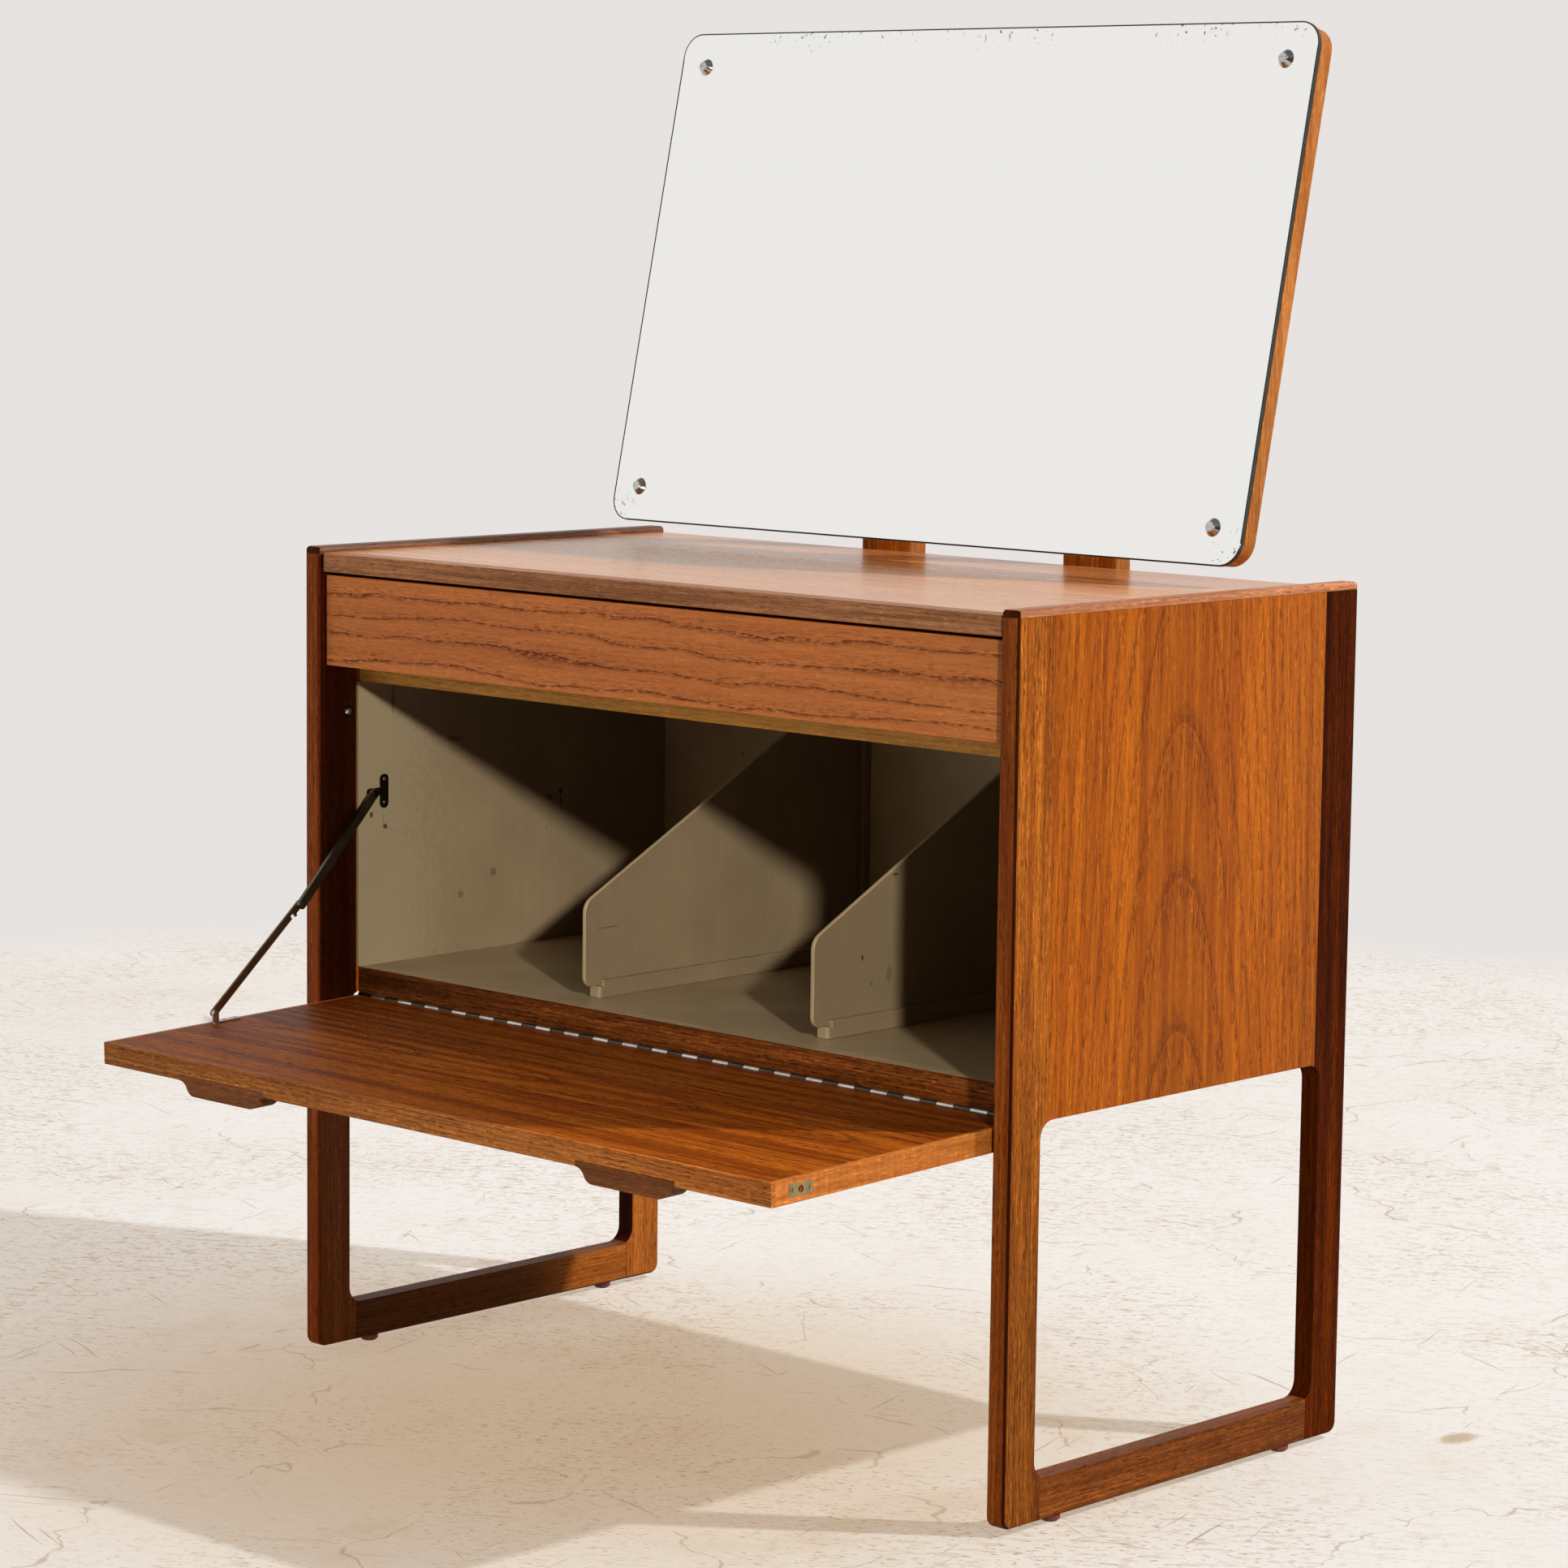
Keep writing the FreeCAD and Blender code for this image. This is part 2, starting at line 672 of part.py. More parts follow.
def drawer():
    """Side-hung drawer under the top, on a runner strip at each side."""
    board(
        "drawer_front",
        ("-drawer_front_x", "drawer_face_y", "shelf_top_z + drawer_front_lift"),
        ("drawer_front_x", "drawer_box_y", "top_under_z - drawer_front_top_gap"),
    )
    for side in SIDES:
        low_x, high_x = sided(side, "drawer_inner_x", "drawer_outer_x")
        wall = board(
            f"{side}_drawer_side",
            (low_x, "drawer_box_y", "drawer_side_z"),
            (high_x, "drawer_end_y", "drawer_side_top_z"),
        )
        low_x, high_x = sided(side, "runner_x - runner_side_clearance", "drawer_outer_x")
        low_z, high_z = "runner_z - runner_clearance", "runner_top_z + runner_clearance"
        notch(wall, (low_x, "runner_y - runner_clearance", low_z), (high_x, "drawer_end_y", high_z))
        low_x, high_x = sided(side, "drawer_inner_x", "drawer_groove_x")
        top = "drawer_bottom_z + drawer_bottom_thickness"
        notch(wall, (low_x, "drawer_box_y", "drawer_bottom_z"), (high_x, "drawer_end_y", top))
        low_x, high_x = sided(side, "runner_x", "inner_x")
        board(
            f"{side}_runner",
            (low_x, "runner_y", "runner_z"),
            (high_x, "drawer_end_y - runner_end_gap", "runner_top_z"),
        )
    for name, low, high in (
        ("drawer_back", ("drawer_end_y - drawer_back_thickness", "drawer_bottom_z + drawer_bottom_thickness"),
         ("drawer_end_y", "drawer_side_top_z")),
        ("drawer_bottom", ("drawer_box_y", "drawer_bottom_z"),
         ("drawer_end_y", "drawer_bottom_z + drawer_bottom_thickness")),
    ):
        reach = "drawer_groove_x" if name == "drawer_bottom" else "drawer_inner_x"
        board(name, (f"-{reach}",) + low, (reach,) + high)


def fall_front():
    """Fall front: veneered panel with lipped edges, let-in handles and strike plates."""
    panel = board(
        "door_panel",
        ("-lipping_x", "-lipping_y", "-door_thickness"),
        ("lipping_x", "-knuckle_radius", "0"),
        door_body,
    )
    front = board(
        "door_front_lipping",
        ("-door_half_width", "-door_span", "-door_thickness"),
        ("door_half_width", "-lipping_y", "0"),
        door_body,
    )
    round_edges(front, "door_edge_radius", edges_along(last_shape(front), "x", y="Min"))
    for side in SIDES:
        centre = "-handle_offset" if side == "left" else "handle_offset"
        for piece in (panel, front):
            low = (f"{centre} - handle_half_width", "-door_span", "-door_thickness")
            high = (f"{centre} + handle_half_width", "-handle_back", "-handle_top")
            notch(piece, low, high)
        handle(side, centre)

        low_x, high_x = sided(side, "lipping_x", "door_half_width")
        lipping = board(
            f"door_{side}_lipping",
            (low_x, "-lipping_y", "-door_thickness"),
            (high_x, "-knuckle_radius", "0"),
            door_body,
        )
        low_x, high_x = sided(side, "door_half_width - strike_thickness", "door_half_width")
        half_length, half_width = "strike_length / 2", "strike_width / 2"
        low = (low_x, f"-strike_reach - {half_length}", f"-strike_depth - {half_width}")
        high = (high_x, f"-strike_reach + {half_length}", f"-strike_depth + {half_width}")
        notch(lipping, low, high)
        hole = new_sketch(lipping, "YZ", low_x)
        add_circle(hole, "-strike_reach", "-strike_depth", "strike_hole_radius")
        pocket(lipping, hole)

    plates = door_body("strike_plates")
    for side in SIDES:
        low_x = sided(side, "door_half_width - strike_thickness", "door_half_width")[0]
        plate = new_sketch(plates, "YZ", low_x)
        half_length, half_width = "strike_length / 2", "strike_width / 2"
        add_outline(plate, rectangle(
            f"-strike_reach - {half_length}", f"-strike_depth - {half_width}",
            f"-strike_reach + {half_length}", f"-strike_depth + {half_width}",
        ))
        add_circle(plate, "-strike_reach", "-strike_depth", "strike_hole_radius")
        pad(plates, plate, "strike_thickness")


def handle(side, centre):
    """Handle let into the front edge, its ends swept up in two arcs, with a finger cove behind."""
    grip = door_body(f"{side}_handle")
    front = new_sketch(grip, "XZ", "door_span")
    half_run = "(handle_half_width + handle_flat_half_width) / 2"
    upper, lower = f"({half_run} + handle_bend)", f"({half_run} - handle_bend)"
    add_outline(front, [
        (f"{centre} - handle_half_width", "-handle_top"),
        (f"{centre} - handle_half_width", "-door_thickness"),
        (f"{centre} - {upper}", "-door_thickness", "handle_curve"),
        (f"{centre} - {lower}", "-handle_bottom", "handle_curve"),
        (f"{centre} + {lower}", "-handle_bottom", "handle_curve"),
        (f"{centre} + {upper}", "-door_thickness", "handle_curve"),
        (f"{centre} + handle_half_width", "-door_thickness"),
        (f"{centre} + handle_half_width", "-handle_top"),
    ])
    pad(grip, front, "handle_depth", backwards=True)
    cove = new_sketch(grip, "YZ")
    add_circle(cove, "-handle_back", "-handle_bottom", "handle_cove_radius")
    pocket(grip, cove)


def hinge_leaf(name, make, pin, leaf, first):
    """Leaf of the piano hinge with its own half of the knuckles."""
    body = make(name)
    pin_y, pin_z = pin
    near, far = leaf
    leaf_edge = f"{pin_z} - hinge_leaf_top"
    start = f"-hinge_half_length + {first} + knuckle_clearance / 2"
    block(
        body,
        ("-hinge_half_length", near, f"{leaf_edge} - hinge_leaf_width"),
        ("hinge_half_length", far, leaf_edge),
    )
    knuckle = new_sketch(body, "YZ", start)
    add_circle(knuckle, pin_y, pin_z, "knuckle_radius")
    barrel = pad(body, knuckle, "knuckle_length")
    tab = block(body, (start, near, leaf_edge), (f"{start} + knuckle_length", far, pin_z))
    doc.recompute()
    row = body.newObject("PartDesign::LinearPattern", f"{name}_row")
    row.Originals = [barrel, tab]
    row.Direction = (origin_feature(body, "X_Axis"), [""])
    bind(row, "Length", "knuckle_pitch * (knuckle_pair_count - 1)")
    bind(row, "Occurrences", "knuckle_pair_count")
    body.Tip = row


def piano_hinge():
    """Piano hinge along the front of the floor: two leaves whose knuckles alternate along one line."""
    case_leaf = ("lip_y - hinge_leaf_thickness", "lip_y")
    hinge_leaf("hinge_case_leaf", new_body, ("pin_y", "pin_z"), case_leaf, "0")
    door_leaf = ("-knuckle_radius", "hinge_leaf_thickness - knuckle_radius")
    hinge_leaf("hinge_door_leaf", door_body, ("0", "0"), door_leaf, "knuckle_pitch / 2")


def ball_catches():
    """Sprung ball in a barrel in each front post, level with the strike plates of the closed front."""
    barrels = new_body("catch_barrels")
    for side in SIDES:
        shell_x = sided(side, "inner_x", "inner_x + barrel_length")[0]
        shell = new_sketch(barrels, "YZ", shell_x)
        add_circle(shell, "catch_y", "catch_z", "barrel_radius")
        pad(barrels, shell, "barrel_length")
    for side in SIDES:
        bore_x = "-inner_x" if side == "left" else "inner_x"
        bore = new_sketch(barrels, "YZ", bore_x)
        add_circle(bore, "catch_y", "catch_z", "ball_bore_radius")
        pocket(barrels, bore, "barrel_length - barrel_end_thickness", backwards=side == "right")
    for side in SIDES:
        ball = doc.addObject("Part::Sphere", f"{side}_catch_ball")
        ball.Label = ball.Name
        bind(ball, "Radius", "ball_radius")
        bind(ball, "Placement.Base.x", "-ball_x" if side == "left" else "ball_x")
        bind(ball, "Placement.Base.y", "catch_y")
        bind(ball, "Placement.Base.z", "catch_z")


def bar_outline(sketch, start, end, half_width):
    """Bar along the sketch from a round end behind its start to one beyond its end."""
    radius = f"2 * round_end_share * {half_width}"
    add_outline(sketch, rectangle(
        f"{start} - {half_width}", f"-{half_width}", f"{end} + {half_width}", half_width, radius
    ))


def rivet(body, across, up, start, length):
    """Rivet shank through one pivot, with its head on the room side."""
    shank = new_sketch(body, "YZ", start)
    add_circle(shank, across, up, "stay_pivot_radius")
    pad(body, shank, length)
    head = new_sketch(body, "YZ", f"{start} + {length}")
    add_circle(head, across, up, "stay_head_radius")
    pad(body, head, "stay_head_height")


def folding_stay():
    """Folding stay on the left: wall bracket, channelled upper arm, hooked lower arm and door bracket."""
    wall = new_body("stay_wall_bracket")
    plate = new_sketch(wall, "YZ", "-liner_x")
    half_width, half_length = "wall_plate_width / 2", "wall_plate_length / 2"
    centre_y = "front_y + wall_plate_set_back"
    plate_radius = f"2 * round_end_share * {half_width}"
    add_outline(plate, rectangle(
        f"{centre_y} - {half_width}", f"wall_rivet_z - {half_length}",
        f"{centre_y} + {half_width}", f"wall_rivet_z + {half_length}", plate_radius,
    ))
    pad(wall, plate, "stay_plate_thickness")
    ear = new_sketch(wall, "YZ", "-liner_x")
    ear_radius = "2 * round_end_share * stay_ear_radius"
    add_outline(ear, [
        (centre_y, "wall_rivet_z - stay_ear_radius"),
        (centre_y, "wall_rivet_z + stay_ear_radius"),
        ("wall_rivet_y - stay_ear_radius", "wall_rivet_z + stay_ear_radius", ear_radius),
        ("wall_rivet_y - stay_ear_radius", "wall_rivet_z - stay_ear_radius", ear_radius),
    ])
    pad(wall, ear, "stay_plate_thickness")
    rivet(wall, "wall_rivet_y", "wall_rivet_z", "wall_plate_x", "arm_face_x - wall_plate_x")

    upper = new_body(
        "stay_upper_arm", "0", "wall_rivet_y", "wall_rivet_z", "upper_arm_turn", FreeCAD.Vector(-1, 0, 0)
    )
    section = new_sketch(upper, "YZ", "upper_arm_x")
    bar_outline(section, "0", "upper_arm_length", "channel_width / 2")
    pad(upper, section, "channel_depth")
    hollow = new_sketch(upper, "YZ", "web_x")
    bar_outline(hollow, "0", "upper_arm_length", "(channel_width / 2 - channel_wall)")
    pocket(upper, hollow, "channel_depth")
    eye = new_sketch(upper, "YZ", "web_x")
    add_circle(eye, "0", "0", "stay_pivot_radius + stay_pivot_clearance")
    pocket(upper, eye)
    rivet(upper, "upper_arm_length", "0", "upper_arm_x", "channel_depth")

    lower = new_body(
        "stay_lower_arm", "0", "door_rivet_y", "door_rivet_z", "lower_arm_turn", FreeCAD.Vector(1, 0, 0)
    )
    strip = new_sketch(lower, "YZ", "lower_arm_x")
    half = "lower_arm_width / 2"
    end_radius = f"2 * round_end_share * {half}"
    notch_end = "lower_arm_length - hook_set_back"
    notch_start = f"{notch_end} - hook_notch_length"
    add_outline(strip, [
        (f"-{half}", half, end_radius),
        (f"-{half}", f"-{half}", end_radius),
        (notch_start, f"-{half}"),
        (notch_start, f"hook_notch_depth - {half}"),
        (f"{notch_end} - hook_nib_length", f"hook_notch_depth - {half}"),
        (f"{notch_end} - hook_nib_length", f"-{half} - hook_nib_height"),
        (notch_end, f"-{half} - hook_nib_height"),
        (notch_end, f"-{half}"),
        (f"lower_arm_length + {half}", f"-{half}", end_radius),
        (f"lower_arm_length + {half}", half, end_radius),
    ])
    pad(lower, strip, "lower_arm_thickness")
    eye = new_sketch(lower, "YZ", "lower_arm_x")
    add_circle(eye, "0", "0", "stay_pivot_radius + stay_pivot_clearance")
    pocket(lower, eye)

    door = door_body("stay_door_bracket")
    foot = new_sketch(door, "XY")
    half = "door_plate_width / 2"
    foot_radius = f"2 * round_end_share * {half}"
    add_outline(foot, rectangle(
        f"door_ear_x - {half}", "-stay_door_reach - door_plate_overhang - stay_ear_radius",
        f"door_ear_x + {half}", "door_plate_length - stay_door_reach - door_plate_overhang - stay_ear_radius",
        foot_radius,
    ))
    pad(door, foot, "stay_plate_thickness")
    ear = new_sketch(door, "YZ", "upper_arm_x")
    add_outline(ear, [
        ("-stay_door_reach - stay_ear_radius", "0"),
        ("stay_ear_radius - stay_door_reach", "0"),
        ("stay_ear_radius - stay_door_reach", "stay_door_lift + stay_ear_radius", ear_radius),
        ("-stay_door_reach - stay_ear_radius", "stay_door_lift + stay_ear_radius", ear_radius),
    ])
    pad(door, ear, "stay_plate_thickness")
    shank = "upper_arm_x + stay_plate_thickness - lower_arm_x"
    rivet(door, "-stay_door_reach", "stay_door_lift", "lower_arm_x", shank)


def stud_places():
    """Places of the four studs, across the mirror and up it."""
    return [(across, up) for across in ("-stud_x", "stud_x") for up in ("stud_low", "stud_high")]


def mirror():
    """Mirror glass on its board, held by four studs and hung on pivot brackets from two posts."""
    hole = "stud_shank_radius + stud_hole_clearance"
    for name, margin, inset, back, thickness in (
        ("mirror_board", "mirror_board_margin", "mirror_board_end_inset", "board_back", "mirror_board_thickness"),
        ("mirror_glass", "0", "0", "glass_back", "mirror_glass_thickness"),
    ):
        sheet = mirror_body(name)
        profile = new_sketch(sheet, "XZ", f"-{back}")
        add_outline(profile, rectangle(
            f"-glass_half_width - {margin}", f"glass_bottom + {inset}",
            f"glass_half_width + {margin}", f"glass_top - {inset}", "mirror_corner_radius",
        ))
        for across, up in stud_places():
            add_circle(profile, across, up, hole)
        pad(sheet, profile, thickness)

    studs = mirror_body("mirror_studs")
    heads = new_sketch(studs, "XZ", "-glass_face")
    shanks = new_sketch(studs, "XZ", "-glass_face")
    for across, up in stud_places():
        add_circle(heads, across, up, "stud_head_radius")
        add_circle(shanks, across, up, "stud_shank_radius")
    cone = pad(studs, heads, "stud_head_height")
    bind(cone, "TaperAngle", "-stud_taper_angle")
    pad(studs, shanks, "mirror_glass_thickness + mirror_board_thickness", backwards=True)
    slots = new_sketch(studs, "XZ", "stud_head_height - glass_face")
    half_slot = "stud_slot_width / 2"
    for across, up in stud_places():
        add_outline(slots, rectangle(
            f"{across} - stud_head_radius", f"{up} - {half_slot}",
            f"{across} + stud_head_radius", f"{up} + {half_slot}",
        ))
    pocket(studs, slots, "stud_slot_depth")

    brackets = new_body("post_brackets")
    hangers = mirror_body("mirror_brackets")
    bolts = new_body("mirror_pivot_bolts")
    for side in SIDES:
        low_x, high_x = sided(side, "mirror_post_inner_x", "mirror_post_outer_x")
        post = board(
            f"{side}_mirror_post",
            (low_x, "rear_y", "case_top_z - mirror_post_overlap"),
            (high_x, "rear_y + mirror_post_thickness", "pivot_z + mirror_post_overrun"),
        )
        round_edges(post, "mirror_post_edge_radius", edges_along(last_shape(post), "z"))

        half_plate = "bracket_plate_width / 2"
        plate_low, plate_high = sided(
            side, f"mirror_post_offset - {half_plate}", f"mirror_post_offset + {half_plate}"
        )
        half_height = "bracket_plate_height / 2"
        block(
            brackets, (plate_low, "rear_y - bracket_thickness", f"pivot_z - {half_height}"),
            (plate_high, "rear_y", f"pivot_z + {half_height}"),
        )
        block(
            hangers, (plate_low, "board_back", f"-{half_height}"),
            (plate_high, "board_back + bracket_thickness", half_height),
        )
        post_ear_x = sided(side, "bracket_ear_x - bracket_thickness", "bracket_ear_x")[0]
        board_ear_x = sided(side, "board_ear_x", "board_ear_x + bracket_thickness")[0]
        post_reach = "+ mirror_pivot_reach - bracket_thickness"
        board_reach = "- mirror_pivot_stand_off + bracket_thickness"
        pivot_ear(brackets, post_ear_x, ("pivot_y", "pivot_z"), post_reach, "-")
        pivot_ear(hangers, board_ear_x, ("0", "0"), board_reach, "+")

        shank_low, shank_high = sided(
            side, "bracket_ear_x - bracket_thickness", "board_ear_x + bracket_thickness"
        )
        shank = new_sketch(bolts, "YZ", shank_low)
        add_circle(shank, "pivot_y", "pivot_z", "bolt_radius")
        pad(bolts, shank, f"({shank_high}) - ({shank_low})")
        for head_x, backwards in ((shank_low, True), (shank_high, False)):
            head = new_sketch(bolts, "YZ", head_x)
            add_circle(head, "pivot_y", "pivot_z", "bolt_head_radius")
            pad(bolts, head, "bolt_head_height", backwards)


def pivot_ear(body, offset, pivot, reach, past):
    """Ear from a bracket's plate to the pivot, bored about it; past is the sign of its far side."""
    across, up = pivot
    radius = "2 * round_end_share * bracket_ear_radius"
    ear = new_sketch(body, "YZ", offset)
    add_outline(ear, [
        (f"{across} {reach}", f"{up} - bracket_ear_radius"),
        (f"{across} {reach}", f"{up} + bracket_ear_radius"),
        (f"{across} {past} bracket_ear_radius", f"{up} + bracket_ear_radius", radius),
        (f"{across} {past} bracket_ear_radius", f"{up} - bracket_ear_radius", radius),
    ])
    add_circle(ear, across, up, "bolt_radius + bolt_clearance")
    pad(body, ear, "bracket_thickness")


def pieces():
    """Every finished piece: the bodies and the two balls."""
    return [item for item in doc.Objects if item.TypeId in ("PartDesign::Body", "Part::Sphere")]


def check():
    """Stop when any object failed or any piece is empty or invalid."""
    bad = {"Invalid", "Error"}
    failed = [f"{item.Name}: {item.State}" for item in doc.Objects if bad & set(item.State)]
    failed += [item.Label for item in pieces() if item.Shape.isNull() or not item.Shape.isValid()]
    if failed:
        raise RuntimeError("not sound: " + "; ".join(failed))


for side in SIDES:
    side_frame(side)
foot_glides()
case_boards()
for side in SIDES:
    divider(side)
drawer()
fall_front()
piano_hinge()
ball_catches()
folding_stay()
mirror()
doc.recompute()
check()

os.makedirs(FOLDER, exist_ok=True)
for piece in pieces():
    piece.Shape.exportStep(os.path.join(FOLDER, f"{piece.Label}.step"))
    print(f"{piece.Label}: {len(piece.Shape.Solids)} solid, {piece.Shape.Volume:.1f} mm3")
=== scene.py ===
import json
import math
import bmesh
import bpy
from mathutils import Matrix, Vector


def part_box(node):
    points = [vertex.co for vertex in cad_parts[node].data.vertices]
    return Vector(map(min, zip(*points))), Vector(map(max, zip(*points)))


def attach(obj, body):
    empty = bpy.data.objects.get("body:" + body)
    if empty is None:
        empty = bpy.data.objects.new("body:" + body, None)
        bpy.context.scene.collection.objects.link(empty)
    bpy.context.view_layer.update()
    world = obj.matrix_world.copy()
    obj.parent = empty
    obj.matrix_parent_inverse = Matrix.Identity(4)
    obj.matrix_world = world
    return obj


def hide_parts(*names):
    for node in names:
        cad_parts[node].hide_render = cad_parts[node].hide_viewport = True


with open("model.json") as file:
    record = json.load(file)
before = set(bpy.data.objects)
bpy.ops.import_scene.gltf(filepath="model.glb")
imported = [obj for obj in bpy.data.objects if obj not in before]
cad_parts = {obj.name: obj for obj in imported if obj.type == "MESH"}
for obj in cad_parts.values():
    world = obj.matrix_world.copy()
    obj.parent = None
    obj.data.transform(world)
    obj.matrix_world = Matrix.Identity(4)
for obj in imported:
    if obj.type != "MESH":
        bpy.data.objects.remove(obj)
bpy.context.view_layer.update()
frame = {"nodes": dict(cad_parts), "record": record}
BODY_OF = {node: body for body, nodes in frame["record"]["behaviour"]["bodies"].items() for node in nodes}
AXES = "xyz"

# Camera of the photograph: place in metres, angles in degrees, lens and sensor in millimetres
CAMERA_PLACE = (2.603, -2.6803, 0.997)
CAMERA_YAW = 43.422
CAMERA_PITCH = 7.189
CAMERA_ROLL = 0.682
CAMERA_LENS = 106.42
CAMERA_SENSOR = 36
CAMERA_CLIP = 100

# Lamps: name, place and radius in metres, strength and colour
KEY_LAMP = ("key", (2.50, 1.55, 3.30), 0.065, 2.3, (1.0, 0.97, 0.93))
SIDE_LAMP = ("side", (2.51, -1.54, 1.43), 0.065, 2.0, (1.0, 0.96, 0.90))

# Studio: backdrop as seen, its tint and level as a light, and the room's dark end and dim ceiling,
# each with the range of directions in which it sets in
BACKDROP = (0.80, 0.765, 0.745)
STUDIO_TINT = (0.84, 0.825, 0.80)
SKY_LEVEL = 0.9
DARK_AZIMUTH = -47
DARK_LEVEL = 0.03
DARK_RANGE = (0.35, 0.85)
CEILING_LEVEL = 0.25
CEILING_RANGE = (0.45, 0.85)

# Floor: radius and fade in metres, levels as lit and as seen, middle of the painted shade under the body,
# turn of the wear
FLOOR_RADIUS = 6
FLOOR_SEGMENTS = 96
FLOOR_FADE = (2.35, 2.75)
FLOOR_LIT = (0.395, 0.460, 0.520)
FLOOR_SHOWN = (0.570, 0.485, 0.405)
UNDER_BODY_SHADE_PLACE = (-0.05, -0.12, 0)
WEAR_TURN = (0, 0, -0.55)
# Noises of the floor: cells in a metre, detail and roughness
CLOUDS = (1.3, 5, 0.6)
BLOTCHES = (4.5, 6, 0.65)
WEAR_PATCHES = (3.2, 3)
CRACK_GAPS = (9, 4, 0.7)
BEND_CELLS = 6.0
CRACK_CELLS = 3.4
# Wear: cells in a metre, detail and roughness of the noise, its range, strength and tint
FLOOR_WEAR = (
    ((38, 110, 1), 4, 0.65, (0.51, 0.66), 0.8, (0.76, 0.64, 0.50)),
    ((110, 300, 1), 3, 0.60, (0.57, 0.67), 0.9, (0.46, 0.33, 0.22)),
    ((45, 120, 1), 5, 0.70, (0.63, 0.69), 1.0, (0.40, 0.29, 0.20)),
)
FLOOR_CREAM = (0.97, 0.955, 0.94)
FLOOR_WHITE = (1.0, 1.0, 1.0)
FLOOR_BLOTCH = (0.93, 0.86, 0.77)
# Painted shade under the body: its brown darkening and its mottling
FLOOR_UNDER_BODY_SHADE = (0.84, 0.715, 0.57)
FLOOR_MOTTLED_SHADE = (0.76, 0.61, 0.45)
FLOOR_CRACK = (0.52, 0.40, 0.29)
FLOOR_HAIR = (0.50, 0.38, 0.27)
CRACK_BEND = (0.2, 0.2, 0)
CRACK_WIDTH = 0.006
HAIR_BEND = (0.03, 0.03, 0)
HAIR_CELLS = (6, 260, 1)
HAIR_BEARINGS = (0.35, 1.3, -0.5)
PIT_DEPTH = 0.0006
# Stains: cells in a metre and reach of their wobble, and the fade of their edge
WOBBLE_CELLS = 220
WOBBLE_REACH = 0.9
STAIN_EDGE = (1.0, 1.7)
# Stain on the floor: middle, radii, tint and strength
FLOOR_STAIN = ((0.4716, 0.3808, 0), (0.013, 0.022, 0), (0.62, 0.47, 0.30), 0.8)

# Wood tones, as light, middle and dark
PANEL_TONES = ((0.418, 0.104, 0.0037), (0.275, 0.057, 0.0016), (0.105, 0.0166, 0.0007))
SIDE_TONES = ((0.475, 0.135, 0.0110), (0.275, 0.065, 0.0044), (0.067, 0.0123, 0.0011))
FRONT_TONES = ((0.364, 0.088, 0.0091), (0.234, 0.048, 0.0039), (0.065, 0.0120, 0.0013))
# Painted light: the left front post's front, lighter because the side lamp is kept off it
LEFT_FRONT_LIT_TONES = ((0.648, 0.136, 0.020), (0.432, 0.078, 0.0085), (0.130, 0.021, 0.0026))
DEEP_TONES = ((0.068, 0.0112, 0.0002), (0.034, 0.0045, 0.0001), (0.0112, 0.0015, 0.0001))
INNER_TONES = ((0.230, 0.062, 0.0126), (0.155, 0.037, 0.0069), (0.052, 0.0120, 0.0023))
RAIL_TONES = ((0.210, 0.058, 0.009), (0.140, 0.034, 0.004), (0.050, 0.010, 0.001))
LEG_TONES = ((0.640, 0.190, 0.030), (0.480, 0.125, 0.016), (0.160, 0.032, 0.004))
DRAWER_TONES = ((0.648, 0.207, 0.055), (0.551, 0.164, 0.041), (0.119, 0.025, 0.0072))
DOOR_TONES = ((0.399, 0.099, 0.0064), (0.223, 0.043, 0.0016), (0.067, 0.0099, 0.0004))
EDGE_TONES = ((0.597, 0.198, 0.040), (0.433, 0.125, 0.0198), (0.113, 0.022, 0.0033))
DARK_TONES = ((0.230, 0.075, 0.022), (0.156, 0.046, 0.0119), (0.055, 0.0138, 0.0034))
LIPPING_TONES = ((0.456, 0.189, 0.076), (0.300, 0.114, 0.043), (0.108, 0.034, 0.0121))
LIP_TONES = ((0.221, 0.061, 0.0102), (0.119, 0.029, 0.0034), (0.030, 0.0051, 0.0008))
TOP_TONES = ((0.723, 0.307, 0.100), (0.542, 0.207, 0.059), (0.271, 0.117, 0.043))
CAP_TONES = ((0.600, 0.213, 0.069), (0.408, 0.134, 0.039), (0.144, 0.037, 0.0092))
# Painted shade: the left top strip, darker than the right one's same wood
LEFT_CAP_SHADED_TONES = ((0.170, 0.060, 0.020), (0.100, 0.032, 0.010), (0.030, 0.008, 0.002))
# Golden wood of the drawer's rail, brightened as painted light for the bounce from the floor
GOLD_AND_BOUNCE_TONES = ((1.000, 0.500, 0.105), (1.000, 0.440, 0.075), (0.560, 0.200, 0.030))
BOARD_TONES = ((0.493, 0.176, 0.040), (0.352, 0.110, 0.020), (0.158, 0.037, 0.0070))
POST_TONES = ((0.874, 0.420, 0.051), (0.575, 0.231, 0.024), (0.127, 0.038, 0.0034))
BOX_TONES = ((0.620, 0.420, 0.240), (0.540, 0.340, 0.175), (0.360, 0.200, 0.090))

